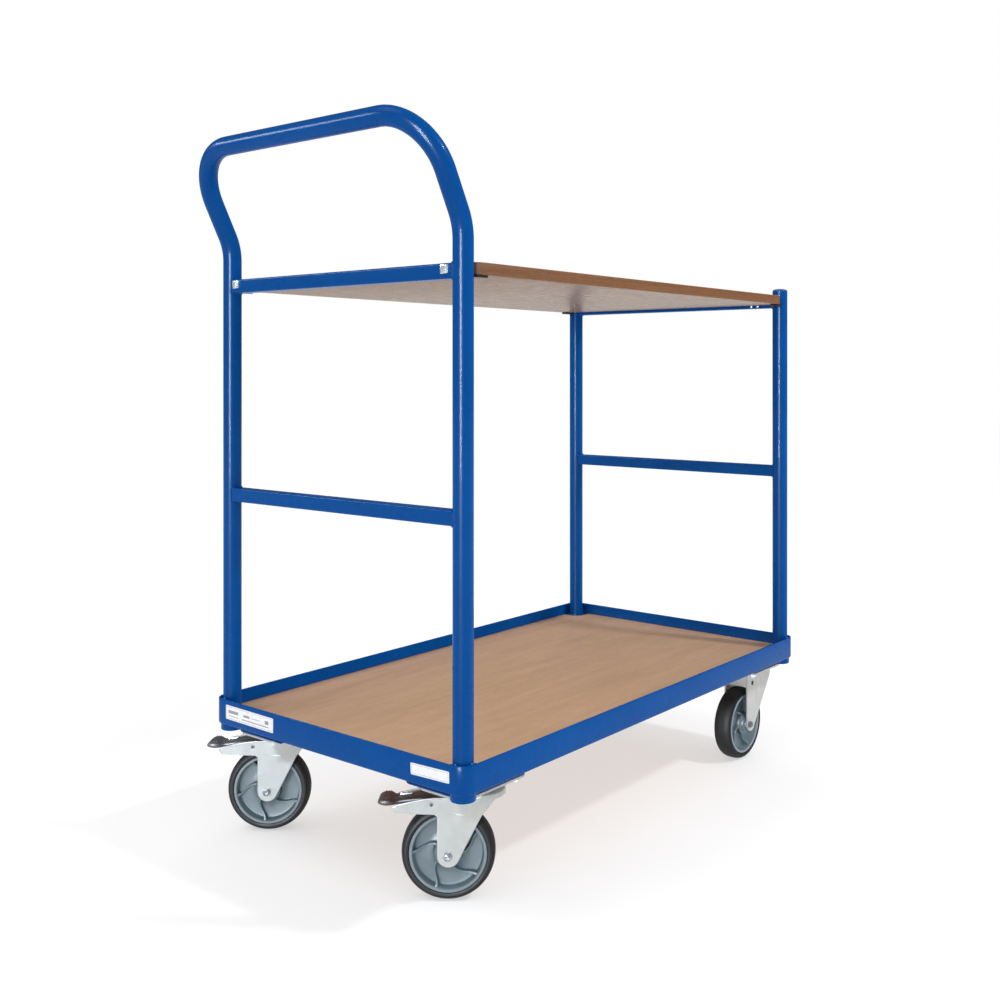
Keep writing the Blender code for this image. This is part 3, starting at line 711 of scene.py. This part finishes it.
def make_posts():
    for side, sy in (("left", 1), ("right", -1)):
        low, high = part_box("front_post_" + side)
        centre = deck_at(POST_X, sy * POST_Y, 0.0)
        inner = TUBE_R - TUBE_WALL
        wall = [
            (TUBE_R - 0.0004, high.z), (TUBE_R, high.z - 0.0005), (TUBE_R, low.z + 0.0005),
            (TUBE_R - 0.0005, low.z), (inner, low.z), (inner, high.z),
        ]
        post = turned("post", wall, 56, Matrix.Translation(centre))
        painted(post, "upright_" + side, "front_post_" + side)
        low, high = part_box("post_cap_" + side)
        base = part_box("front_post_" + side)[1].z + 0.0003
        rise = high.z - base
        dome = [(AXIS, high.z)]
        for i in range(1, 13):
            a = math.pi / 2 * i / 12
            dome.append((AXIS + (TUBE_R - 0.0004) * math.sin(a) ** 0.8,
                         base + 0.0009 + (rise - 0.0009) * math.cos(a)))
        dome += [(TUBE_R, base + 0.0006), (TUBE_R - 0.0002, base), (inner - 0.0003, base)]
        dome += [(inner - 0.0003, low.z), (AXIS, low.z)]
        cap = turned("cap", dome, 56, Matrix.Translation(centre))
        finish_piece(cap, "cap_" + side, CAP, "cap_plastic", ROOT, "post_cap_" + side)


def saddle(x):
    """How far from a post's axis its wall is, off its centre line by x."""
    return math.sqrt(max(TUBE_R ** 2 - x ** 2, 0.0))


def make_rails():
    for end, sx in (("handle", -1), ("front", 1)):
        for level in ("mid", "shelf"):
            low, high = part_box(end + "_" + level + "_rail")
            mid = (low.z + high.z) / 2
            section = round_rectangle(RAIL_HALF, RAIL_HALF, 0.0024, 5)
            dense = []
            for i, (x, z) in enumerate(section):
                nx, nz = section[(i + 1) % len(section)]
                steps = 5 if math.hypot(nx - x, nz - z) > 0.003 else 1
                dense += [(x + (nx - x) * k / steps, z + (nz - z) * k / steps) for k in range(steps)]

            def end_ring(sy, grow, depth):
                return [deck_at(sx * POST_X + x * grow, sy * (POST_Y - saddle(x * grow) + depth),
                                mid + z * grow) for x, z in dense]

            parts = [loft("rail", [end_ring(sy, 1.0, 0.0004) for sy in (-1, 1)])]
            for sy in (-1, 1):
                parts.append(bead("weld", end_ring(sy, 1.03, -0.0002), 0.0013, sx + sy))
            painted(merge("rail", parts), end + "_" + level + "_bar", end + "_" + level + "_rail")


def make_shelf():
    low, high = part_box("shelf_board")
    hx, hy = (high.x - low.x) / 2, (high.y - low.y) / 2
    outline = round_rectangle(hx, hy, 0.012, 8)
    board = plate("shelf", [outline], low.z, high.z, 0.0009, ON_DECK)
    # Downward faces take the darker beech copy: painted shade on the underside.
    coat_faces(board, lambda face: int(face.normal.z <= LEVEL) + int(face.normal.z < -LEVEL),
               BEECH, EDGE, SHELF_UNDERSIDE_PAINTED_SHADE)
    finish_piece(board, "upper_board", None, "beech_board", ROOT, "shelf_board")
    for name, sx, _ in CORNERS:
        lug_low, lug_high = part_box("shelf_lug_" + name)
        x0, x1 = lug_low.x - DECK.x, lug_high.x - DECK.x
        y0, y1 = lug_low.y - DECK.y, lug_high.y - DECK.y
        clip = 0.004
        far_x, near_x = (x1, x0) if sx < 0 else (x0, x1)
        lug_outline = [
            (near_x, y0), (near_x, y1), (far_x + sx * clip, y1),
            (far_x, y1 - clip), (far_x, y0 + clip), (far_x + sx * clip, y0),
        ]
        lug = plate("lug", [lug_outline], lug_low.z, lug_high.z, 0.0004, ON_DECK)
        # The lugs take the near-black brown: painted shade under the shelf.
        finish_piece(lug, "lug_" + name, LUG_PAINTED_SHADE, "blue_paint", ROOT, "shelf_lug_" + name)


def screw_profile(radius):
    """Half section of a domed screw head that stands on Z = 0."""
    return [(AXIS, 0.52 * radius), (0.43 * radius, 0.49 * radius), (0.78 * radius, 0.35 * radius),
            (0.98 * radius, 0.12 * radius), (radius, 0.0), (AXIS, 0.0)]


def make_rail_bolts():
    """Plated bolts through the shelf rail, one near each end."""
    low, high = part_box("handle_shelf_rail")
    mid = (low.z + high.z) / 2
    for side, sy in (("left", 1), ("right", -1)):
        # A plated nut on a thin tab, its lower corners cut away.
        y = DECK.y + sy * (POST_Y - TUBE_R - 0.0088)
        face = upright((DECK.x - POST_X - RAIL_HALF, y, mid + 0.0026), -math.pi / 2)
        tab = [(-0.0066, -0.0040), (-0.0058, -0.0062), (0.0056, -0.0056), (0.0066, -0.0034),
               (0.0066, 0.0052), (-0.0066, 0.0052)]
        parts = [plate("tab", [tab], 0.0, 0.0018, 0.0003, face),
                 hexagon("nut", 0.0076, 0.0018, 0.0046, face)]
        finish_piece(merge("clip", parts), "rail_bolt_" + side, BRIGHT, "bright_fastener", ROOT)
    for k in range(2):
        spot = deck_at(POST_X - RAIL_HALF, 0.013 * k - 0.193, low.z + 0.0038)
        head = turned("screw", screw_profile(0.0026), 24, along(spot, (-1, 0, 0)))
        finish_piece(head, "front_rail_screw_%d" % k, BRIGHT, "bright_fastener", ROOT)


def label_place(y, z, tilt):
    """A matrix that lays a flat outline on the rim's handle-end face."""
    lean = Matrix.Translation((RIM_LOW.x, DECK.y + y, z)) @ Matrix.Rotation(tilt, 4, "X")
    return lean @ upright((0, 0, 0), -math.pi / 2)


def make_labels():
    """Two film labels on the frame: blank, but for a thin border and plain bars on the long one."""
    mid_z = (RIM_LOW.z + RIM_HIGH.z) / 2
    spots = (
        ("label_long", 0.1675, mid_z + 0.0021, 0.0545, 0.0104, math.radians(0.4)),
        ("label_short", -0.1948, mid_z + 0.0019, 0.0335, 0.0074, math.radians(-1.8)),
    )
    for name, y, z, half_y, half_z, tilt in spots:
        place = label_place(y, z, tilt)
        outline = round_rectangle(half_y, half_z, 0.0016, 5)
        label = plate("label", [outline], -0.0001, 0.00025, 0.00005, place)
        finish_piece(label, name, LABEL, "hub_plastic", ROOT)
        outer = round_rectangle(half_y - 0.0016, half_z - 0.0016, 0.0010, 5)
        inner = round_rectangle(half_y - 0.0020, half_z - 0.0020, 0.0008, 5)
        marks = [plate("border", [outer, inner], 0.0002, 0.0003, 0.00002, place)]
        if name == "label_long":
            # (middle along the label, middle up it, half length, half height)
            for u, w, half_u, half_w in ((-0.037, 0.0016, 0.0115, 0.0022), (-0.037, -0.0046, 0.0115, 0.0005),
                                         (-0.006, 0.0012, 0.0070, 0.0016), (0.014, -0.0046, 0.0300, 0.0007),
                                         (0.040, 0.0014, 0.0040, 0.0026), (0.016, 0.0010, 0.0100, 0.0004)):
                bar = [(u - half_u, w - half_w), (u + half_u, w - half_w), (u + half_u, w + half_w),
                       (u - half_u, w + half_w)]
                marks.append(plate("bar", [bar], 0.0002, 0.0003, 0.00002, place))
        finish_piece(merge("marks", marks), name + "_marks", LABEL_INK, "hub_plastic", ROOT)


# ---------------------------------------------------------------- castors

def joint_place(name):
    return Vector(next(j for j in frame["joints"] if j["name"] == name)["pos_m"])


class Castor:
    """The axes of one castor: u from its plate's centre to the axle, v across, z up."""

    def __init__(self, name):
        self.name = name
        self.swivels = name.startswith("handle")
        low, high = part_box("castor_plate_" + name)
        self.low, self.high = low, high
        axle = joint_place("wheel_spin_" + name)
        centre = Vector(((low.x + high.x) / 2, (low.y + high.y) / 2, 0.0))
        if self.swivels:
            centre = joint_place("swivel_" + name)
            centre.z = 0.0
        u = Vector((axle.x - centre.x, axle.y - centre.y, 0.0))
        self.trail = u.length
        self.u = u.normalized()
        self.v = Vector((-self.u.y, self.u.x, 0.0))
        self.centre = centre
        self.body = "swivel_castor_" + name if self.swivels else ROOT
        rotation = Matrix((self.u, self.v, (0, 0, 1))).transposed().to_4x4()
        self.matrix = Matrix.Translation(centre) @ rotation
        turn_axle = Matrix.Rotation(-math.pi / 2, 4, "X")
        self.axle = self.matrix @ Matrix.Translation((self.trail, 0.0, axle.z)) @ turn_axle

    def place(self, obj):
        return moved(obj, self.matrix)


def leg_rows(edges, step, count, top):
    """Low and high u of a leg at each level up to its top, from its front and back edge lines."""
    reach = 2 * SAME_POINT
    lowest = WHEEL_R - 0.0005
    levels = set(round(z, 6) for line in edges for _, z in line)
    levels |= set(round(lowest + step * k, 6) for k in range(count))
    rows = []
    for z in sorted(levels):
        if z > top:
            break
        pair = []
        for line in edges:
            for (u0, z0), (u1, z1) in zip(line, line[1:]):
                if z0 - reach <= z <= z1 + reach:
                    f = 0.0 if z1 == z0 else (z - z0) / (z1 - z0)
                    pair.append(u0 + (u1 - u0) * f)
                    break
        rows.append((*pair, z))
    return rows


def make_leg(name, rows, side, shape, columns=28):
    """A pressed leg: a sheet between two edge lines, pushed out of flat by a shape function."""
    outer, inner = [], []
    for u0, u1, z in rows:
        a, b = [], []
        for i in range(columns + 1):
            u = u0 + (u1 - u0) * i / columns
            v = FORK_OUT + shape(u, z)
            a.append(Vector((u, side * v, z)))
            b.append(Vector((u, side * (v - STEEL), z)))
        outer.append(a)
        inner.append(b)
    count = columns + 1
    verts = [p for row in outer for p in row] + [p for row in inner for p in row]
    base = len(outer) * count
    faces = []
    for r in range(len(rows) - 1):
        for c in range(columns):
            k = r * count + c
            faces.append((k, k + 1, k + count + 1, k + count))
            faces.append((base + k, base + k + count, base + k + count + 1, base + k + 1))
        k = r * count
        faces.append((k, k + count, base + k + count, base + k))
        k += columns
        faces.append((k, base + k, base + k + count, k + count))
    for c in range(columns):
        faces.append((c, base + c, base + c + 1, c + 1))
        k = (len(rows) - 1) * count + c
        faces.append((k, k + 1, base + k + 1, base + k))
    return bevel(from_faces(name, verts, faces, 30.0), 0.0006, 2, 50.0)


def smoothstep(a, b, x):
    t = min(max((x - a) / (b - a), 0.0), 1.0)
    return t * t * (3 - 2 * t)


def foot_edges(cu, cz, radius, front, back):
    """Front and back edge lines of a leg with a round foot, from the foot up."""
    right = arc(cu, cz, radius, 270, 360, 10)
    knee = front[0]
    distance = math.hypot(knee[0] - cu, knee[1] - cz)
    heading = math.atan2(knee[1] - cz, knee[0] - cu)
    leave = math.degrees(heading + math.acos(radius / distance))
    left = arc(cu, cz, radius, 270, leave, 10)
    return [left + front, right + back]


def swivel_bulge(u, z):
    """Swells the top of a swivel leg out to a round crown."""
    crown = 0.0355
    round_top = math.sqrt(max(crown ** 2 - u ** 2, 0.0))
    return max(round_top - FORK_OUT, 0.0) * smoothstep(0.106, 0.1445, z)


def make_swivel_fork(c):
    t = c.trail
    front = [(t - 0.046, 0.118), (-0.0262, 0.1450), (-0.0262, 0.1462)]
    back = [(t + 0.0135, 0.1140), (t + 0.0175, 0.1172), (t + 0.0460, 0.1180), (t + 0.0680, 0.1198),
            (t + 0.0728, 0.1256), (t + 0.0690, 0.1290), (t + 0.0508, 0.1334), (t + 0.0320, 0.1372),
            (t + 0.0190, 0.1386), (t - 0.0060, 0.1388), (t - 0.0110, 0.1462)]
    edges = foot_edges(t - 0.001, WHEEL_R, 0.0145, front, back)
    rows = leg_rows(edges, 0.0028, 30, 0.1462)
    lip = [(t + 0.0722, 0.1262), (t + 0.0684, 0.1288), (t + 0.0508, 0.1331), (t + 0.0320, 0.1369),
           (t + 0.0190, 0.1383), (t + 0.0060, 0.1385), (t - 0.0040, 0.1385)]
    parts = []
    for side in (-1, 1):
        parts.append(make_leg("leg", rows, side, swivel_bulge))
        parts.append(sweep("lip", [(u, side * (FORK_OUT + 0.0002), z) for u, z in lip], 0.0011, 12))
    top = 0.147
    disc = [
        (0.0085, top), (0.0200, top), (0.0205, top - 0.0006), (0.0230, top - 0.0006), (0.0240, top),
        (0.0318, top), (0.0335, top - 0.0004), (0.0346, top - 0.0012), (0.0350, top - 0.0026),
        (0.0350, top - 0.0074), (0.0347, top - 0.0078), (0.0330, top - 0.0078), (0.0326, top - 0.0074),
        (0.0326, top - 0.0046), (0.0318, top - 0.0032), (0.0085, top - 0.0030),
    ]
    parts.append(turned("crown", disc, 72))
    fork = c.place(merge("fork", parts))
    finish_piece(fork, "fork_" + c.name, ZINC, "zinc_plate", c.body, "swivel_fork_" + c.name)


def fixed_beads(u, z):
    """Two shallow upright grooves and a flare into the top plate."""
    fade = smoothstep(0.086, 0.098, z) * (1 - smoothstep(0.140, 0.148, z))
    groove = 0.0
    for place in (-0.004, 0.016):
        groove += math.exp(-((u - place) / 0.0030) ** 2)
    flare = 0.0046 * smoothstep(0.1470, 0.1540, z) ** 1.5
    return flare - 0.0013 * groove * fade


def make_fixed_fork(c):
    t = c.trail
    top = c.low.z - 0.0003
    front = [(-0.040, 0.139), (-0.0400, top)]
    back = [(t + 0.0065, top)]
    edges = foot_edges(t - 0.007, WHEEL_R, 0.0135, front, back)
    rows = leg_rows(edges, 0.0026, 36, top + SAME_POINT)
    parts = [make_leg("leg", rows, side, fixed_beads, 44) for side in (-1, 1)]
    crown = round_rectangle((t + 0.0065 + 0.040) / 2, FORK_OUT - 0.0002, 0.003, 4)
    shift = Matrix.Translation(((t + 0.0065 - 0.040) / 2, 0.0, 0.0))
    parts.append(plate("crown", [crown], top - STEEL, top, 0.0004, shift))
    web = [(-FORK_OUT + 0.001, 0.1300), (FORK_OUT - 0.001, 0.1300), (FORK_OUT - 0.001, top - 0.001),
           (-FORK_OUT + 0.001, top - 0.001)]
    stand = upright((t + 0.0050, 0.0, 0.0), math.pi / 2)
    parts.append(plate("web", [web], -STEEL / 2, STEEL / 2, 0.0004, stand))
    fork = c.place(merge("fork", parts))
    finish_piece(fork, "fork_" + c.name, ZINC, "zinc_plate", c.body, "fixed_fork_" + c.name)
    # Each hole is a flat near-black disc on the leg's face: painted shade where the hole would be.
    for side in (-1, 1):
        disc = circle(0.0, 0.0, 0.0042, 24)
        spot = upright((t - 0.0120, side * (FORK_OUT - 0.0002), 0.1345), 0.0)
        hole = c.place(plate("hole", [disc], -0.0004, 0.0004, 0.0001, spot))
        finish_piece(hole, "fork_hole_%s_%s" % (c.name, "a" if side > 0 else "b"), PAINTED_RECESS_SHADE,
                     "zinc_plate", c.body)


def make_top_plate(c):
    half_x = (c.high.x - c.low.x) / 2
    half_y = (c.high.y - c.low.y) / 2
    outline = round_rectangle(half_x, half_y, 0.009, 8)
    middle = Vector(((c.low.x + c.high.x) / 2, (c.low.y + c.high.y) / 2, 0.0))
    sheet = plate("plate", [outline], c.low.z, c.high.z, 0.0006, Matrix.Translation(middle))
    finish_piece(sheet, "top_plate_" + c.name, ZINC, "zinc_plate", ROOT, "castor_plate_" + c.name)
    for k, (x, y) in enumerate(((-0.040, -0.030), (-0.040, 0.030), (0.040, -0.030), (0.040, 0.030))):
        spot = c.centre + Vector((x, y, c.low.z))
        bolt = hexagon("bolt", 0.0105, 0.0013, 0.0055, along(spot, (0, 0, -1)), washer=0.0078)
        finish_piece(bolt, "plate_bolt_%s_%d" % (c.name, k), BRIGHT, "bright_fastener", ROOT)


def make_race(c):
    low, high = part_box("swivel_race_" + c.name)
    r = (high.x - low.x) / 2
    mid = (low.z + high.z) / 2
    profile = [
        (r - 0.0020, high.z), (r - 0.0004, high.z - 0.0008), (r, high.z - 0.0016),
        (r - 0.0004, mid + 0.0004), (r - 0.0024, mid), (r - 0.0010, mid - 0.0004),
        (r - 0.0004, low.z + 0.0012), (r - 0.0016, low.z),
        (0.0082, low.z), (0.0082, high.z),
    ]
    race = turned("race", profile, 72, c.matrix)
    finish_piece(race, "race_" + c.name, ZINC, "zinc_plate", c.body, "swivel_race_" + c.name)


def make_axle(c):
    out = FORK_OUT + 0.0003
    head = hexagon("head", 0.0100, out, out + 0.0046, c.axle)
    rise = [(0.0030, out + 0.0044), (0.0040, out + 0.0058), (0.0033, out + 0.0062), (0.0022, out + 0.0050),
            (AXIS, out + 0.0048), (AXIS, out + 0.0040), (0.0030, out + 0.0040)]
    ring = turned("ring", rise, 40, c.axle)
    finish_piece(merge("head", [head, ring]), "axle_head_" + c.name, AXLE, "bright_fastener", c.body,
                 "axle_bolt_" + c.name)
    flip = c.axle @ Matrix.Rotation(math.pi, 4, "X")
    nut = hexagon("nut", 0.0104, out, out + 0.0060, flip)
    stub = []
    low, tip = out + 0.0060, out + 0.0092
    turns = 4
    for i in range(turns * 2 + 1):
        z = tip - 0.0004 - (tip - 0.0004 - low) * i / (turns * 2)
        stub.append((0.0040 if i % 2 else 0.0036, z))
    profile = [(AXIS, tip), (0.0032, tip)] + stub + [(AXIS, low)]
    thread = turned("thread", profile, 40, flip)
    finish_piece(merge("nut", [nut, thread]), "axle_nut_end_" + c.name, AXLE, "bright_fastener", c.body,
                 "axle_nut_" + c.name)


# How far each hub has rolled at rest.
HUB_TURN = {"handle_left": 0.85, "handle_right": 0.62, "front_left": 0.35, "front_right": 0.10}


def make_wheel(c):
    body = "wheel_" + c.name
    # Radii of the rim and the bore; distances of the rim's face, the boss and the web from the middle.
    rim, bore = 0.0517, 0.0076
    face, boss, web = 0.0155, 0.0185, 0.0040
    half = [
        (bore, boss - 0.0006), (bore + 0.0006, boss), (0.0135, boss), (0.0143, boss - 0.0006),
        (0.0150, boss - 0.0030), (0.0188, boss - 0.0050), (0.0194, boss - 0.0060), (0.0200, web + 0.0022),
        (0.0225, web + 0.0004), (0.0300, web), (0.0420, web), (0.0450, web + 0.0005), (0.0464, web + 0.0022),
        (0.0472, face - 0.0020), (0.0476, face - 0.0006), (0.0482, face), (0.0510, face),
        (rim, face - 0.0007),
    ]
    profile = half + [(r, -z) for r, z in reversed(half)]
    hub = turned("hub", profile, 96, c.axle)
    inverse = c.axle.inverted()

    def ring_or_crease(poly):
        p = inverse @ poly.center
        away = math.hypot(p.x, p.y)
        # Rim faces take the lighter copy of the hub plastic: painted light.
        if away > 0.0469 and abs(p.z) > web + 0.004:
            return 1
        # The crease round the boss takes the dark copy: painted shade.
        return 2 if 0.0184 < away < 0.0206 else 0

    coat_faces(hub, ring_or_crease, HUB, HUB_RIM_PAINTED_LIGHT, HUB_CREASE_PAINTED_SHADE)
    ribs = []
    root, end = 0.0186, 0.0474
    for side in (-1, 1):
        for turn in angles(5):
            start = turn + HUB_TURN[c.name]
            rings = []
            for i in range(15):
                f = i / 14
                r = root + (end - root) * f
                a = start + 0.62 * math.sin(f * math.pi / 2) ** 1.3
                thick = 0.0017 + 0.0008 * (2 * f - 1) ** 2
                top = (boss - 0.0060) * (1 - f) + (face - 0.0018) * f - 0.0026 * math.sin(math.pi * f)
                slope = Vector((-math.sin(a), math.cos(a), 0.0))
                mid = Vector((r * math.cos(a), r * math.sin(a), 0.0))
                ring = []
                for off, z in ((-thick, web - 0.001), (-thick * 0.85, top - 0.0006), (-thick * 0.5, top),
                               (thick * 0.5, top), (thick * 0.85, top - 0.0006), (thick, web - 0.001)):
                    ring.append(mid + slope * off + Vector((0, 0, z)))
                if side < 0:
                    ring = [Vector((p.x, -p.y, -p.z)) for p in ring]
                rings.append(ring)
            ribs.append(moved(loft("rib", rings), c.axle))
    rib_obj = merge("ribs", ribs)
    finish_piece(hub, "hub_" + c.name, None, "hub_plastic", body, "wheel_hub_" + c.name)
    finish_piece(rib_obj, "hub_ribs_" + c.name, HUB, "hub_plastic", body)
    edge = 0.016
    side = [
        (rim + 0.0003, face - 0.0010), (0.0526, face - 0.0002), (0.0536, edge - 0.0004), (0.0550, edge),
        (0.0566, edge - 0.0001), (0.0584, edge - 0.0012), (0.0600, edge - 0.0030), (0.0612, edge - 0.0052),
        (0.0620, edge - 0.0080), (0.0624, edge - 0.0110), (WHEEL_R, edge - 0.0145),
    ]
    tread = side + [(WHEEL_R, 0.0004), (WHEEL_R, -0.0004)]
    tread += [(r, -z) for r, z in reversed(side)]
    tyre = turned("tyre", tread, 128, c.axle)
    finish_piece(tyre, "tyre_skin_" + c.name, RUBBER, "tyre_rubber", body, "tyre_" + c.name)


def make_pedal(c):
    body = "brake_pedal_" + c.name
    pin_at = c.matrix.inverted() @ joint_place("brake_" + c.name)
    pu, pz = pin_at.x, pin_at.z
    tip = 0.0720
    # (distance from the pin, half width, bottom, top)
    sections = [
        (-0.0054, 0.0150, -0.0014, 0.0020),
        (-0.0036, 0.0160, -0.0040, 0.0050),
        (0.0000, 0.0164, -0.0050, 0.0066),
        (0.0080, 0.0160, -0.0046, 0.0076),
        (0.0160, 0.0150, -0.0040, 0.0076),
        (0.0260, 0.0142, -0.0036, 0.0064),
        (0.0360, 0.0140, -0.0036, 0.0052),
        (0.0440, 0.0142, -0.0038, 0.0040),
        (0.0490, 0.0150, -0.0042, 0.0028),
        (0.0520, 0.0166, -0.0046, 0.0036),
        (0.0552, 0.0180, -0.0050, 0.0054),
        (0.0600, 0.0188, -0.0052, 0.0060),
        (0.0650, 0.0186, -0.0046, 0.0056),
        (0.0690, 0.0174, -0.0034, 0.0040),
        (0.0712, 0.0156, -0.0020, 0.0022),
        (tip, 0.0138, -0.0008, 0.0010),
    ]
    rings = []
    for d, half, low, high in sections:
        ring = []
        for x, y in super_ellipse(half, (high - low) / 2, 40):
            ring.append(Vector((pu + d, x, pz + (low + high) / 2 + y)))
        rings.append(ring)
    parts = [loft("pad", rings, smooth=50.0)]
    for k in range(3):
        d = 0.0572 + 0.0034 * k
        path = [(pu + d, -0.0135 + 0.027 * i / 8, pz + 0.0056) for i in range(9)]
        parts.append(sweep("ridge", path, 0.0006, 12))
    shoe = [(0.012, -0.0036), (0.016, -0.0096), (0.024, -0.0096), (0.027, -0.0026)]
    parts.append(plate("shoe", [shoe], -0.0150, 0.0150, 0.0006, upright((pu, 0.0, pz), 0.0)))
    pedal = c.place(merge("pedal", parts))
    material = PEDAL if c.name.endswith("left") else PEDAL_BROWN
    finish_piece(pedal, "pedal_" + c.name, material, "pedal_plastic", body, "brake_pedal_" + c.name)
    # The slot is a flat near-black patch on the pad, not a cut: painted shade in the slot.
    slot_outline = round_rectangle(0.0110, 0.0046, 0.0040, 6)
    tilt = Matrix.Translation((pu + 0.0370, 0.0, pz + 0.0052)) @ Matrix.Rotation(0.125, 4, "Y")
    slot = c.place(plate("slot", [slot_outline], -0.0008, 0.0004, 0.0001, tilt))
    finish_piece(slot, "pedal_slot_" + c.name, PAINTED_RECESS_SHADE, "pedal_plastic", body)
    tongue = round_rectangle(0.0088, 0.0024, 0.0014, 4)
    lift = Matrix.Translation((pu + 0.0355, -0.0012, pz + 0.0062)) @ Matrix.Rotation(0.10, 4, "Y")
    spring = c.place(plate("tongue", [tongue], -0.0004, 0.0010, 0.0002, lift))
    finish_piece(spring, "pedal_spring_" + c.name, BRIGHT, "bright_fastener", body)
    lip = [(AXIS, 0.0003), (0.0020, 0.0003), (0.0023, 0.0010), (0.0030, 0.0011), (0.0034, 0.0006),
           (0.0035, 0.0), (AXIS, 0.0)]
    ends = []
    for side in (-1, 1):
        spot = along((pu, side * (FORK_OUT - 0.0001), pz), (0, side, 0))
        ends.append(turned("pin_end", lip, 32, spot))
    pin_ends = merge("pin_ends", ends)
    # The hollow middle of each pin end is near-black: painted shade in its recess.
    coat_faces(pin_ends, lambda face: int(math.hypot(face.center.x - pu, face.center.z - pz) < 0.0021),
               ZINC, PAINTED_RECESS_SHADE)
    finish_piece(c.place(pin_ends), "pedal_pin_ends_" + c.name, None, "bright_fastener",
                 c.body, "pedal_pin_" + c.name)


def super_ellipse(a, b, count):
    points = []
    power = 3.2
    for turn in angles(count):
        x, y = math.cos(turn), math.sin(turn)
        points.append((a * math.copysign(abs(x) ** (2 / power), x),
                       b * math.copysign(abs(y) ** (2 / power), y)))
    return points


def make_castors():
    for name, _, _ in CORNERS:
        c = Castor(name)
        make_top_plate(c)
        make_axle(c)
        make_wheel(c)
        if c.swivels:
            make_swivel_fork(c)
            make_race(c)
            make_pedal(c)
        else:
            make_fixed_fork(c)


def dress_frame_nodes():
    """Finishes for the frame's own nodes that still show."""
    finishes = {"kingpin": BRIGHT, "wheel_sleeve": ZINC}
    for name, obj in frame["nodes"].items():
        for start, material in finishes.items():
            if name.startswith(start):
                coat(obj, material)


make_deck_frame()
make_sockets()
make_deck_board()
make_channels()
make_handle()
make_posts()
make_rails()
make_shelf()
make_rail_bolts()
make_labels()
make_castors()
dress_frame_nodes()


# ---------------------------------------------------------------- stage, light, camera

def area_light(name, place, target, size, power, colour=(1.0, 1.0, 1.0)):
    light = bpy.data.lights.new(name, "AREA")
    light.shape = "RECTANGLE"
    light.size, light.size_y = size
    light.energy = power
    light.color = colour
    obj = bpy.data.objects.new(name, light)
    obj.location = place
    obj.rotation_euler = (Vector(target) - Vector(place)).to_track_quat("-Z", "Y").to_euler()
    obj.visible_camera = False
    bpy.context.scene.collection.objects.link(obj)
    return obj


def make_stage():
    floor = from_faces("floor", [(-14, -14, 0), (14, -14, 0), (14, 14, 0), (-14, 14, 0)], [(0, 1, 2, 3)])
    floor.data.materials.append(floor_paint("floor_paint"))
    make_world()
    sun = bpy.data.lights.new("high_softbox", "SUN")
    sun.energy = 0.68
    sun.angle = math.radians(34)
    obj = bpy.data.objects.new("high_softbox", sun)
    obj.rotation_euler = Vector((0.50, -0.44, -1.05)).to_track_quat("-Z", "Y").to_euler()
    bpy.context.scene.collection.objects.link(obj)
    strip = area_light("front_strip", (-6.2, -1.9, 1.5), (0, 0, 0.9), (1.8, 4.6), 2700, (0.78, 0.90, 1.0))
    side = area_light("side_strip", (-2.1, 2.27, 1.93), (-0.5, 0, 1.0), (1.1, 0.45), 62, (0.78, 0.90, 1.0))
    for light in (strip, side):
        light.visible_diffuse = False
    area_light("back_spot", (0.9, -2.2, 2.6), (-0.2, 0, 0.8), (0.25, 0.25), 40)


def make_world():
    """Soft white surroundings: full white behind the object, dimmer where they light and reflect."""
    world = bpy.data.worlds.new("studio")
    world.use_nodes = True
    tree = world.node_tree
    background = tree.nodes["Background"]
    background.inputs["Color"].default_value = (1.0, 1.0, 1.0, 1.0)
    path = tree.nodes.new("ShaderNodeLightPath").outputs
    gloss = add_node(tree, "Mix", "Result", Factor=path["Is Glossy Ray"], A=0.84, B=0.12)
    strength = add_node(tree, "Mix", "Result", Factor=path["Is Camera Ray"], A=gloss, B=1.0)
    feed(tree, background.inputs["Strength"], strength)
    bpy.context.scene.world = world


def make_camera():
    camera = bpy.data.cameras.new("camera")
    camera.sensor_width = 36.0
    camera.sensor_fit = "HORIZONTAL"
    camera.lens = 41.35
    camera.shift_x = -0.0396
    camera.shift_y = -0.1288
    camera.clip_end = 100.0
    obj = bpy.data.objects.new("camera", camera)
    obj.location = (DECK.x - 1.5004, DECK.y - 1.2004, 0.7003)
    obj.rotation_euler = (math.radians(90.0), 0.0, math.radians(-51.62))
    bpy.context.scene.collection.objects.link(obj)
    bpy.context.scene.camera = obj
    bpy.context.scene.view_settings.view_transform = "Standard"


make_stage()
make_camera()
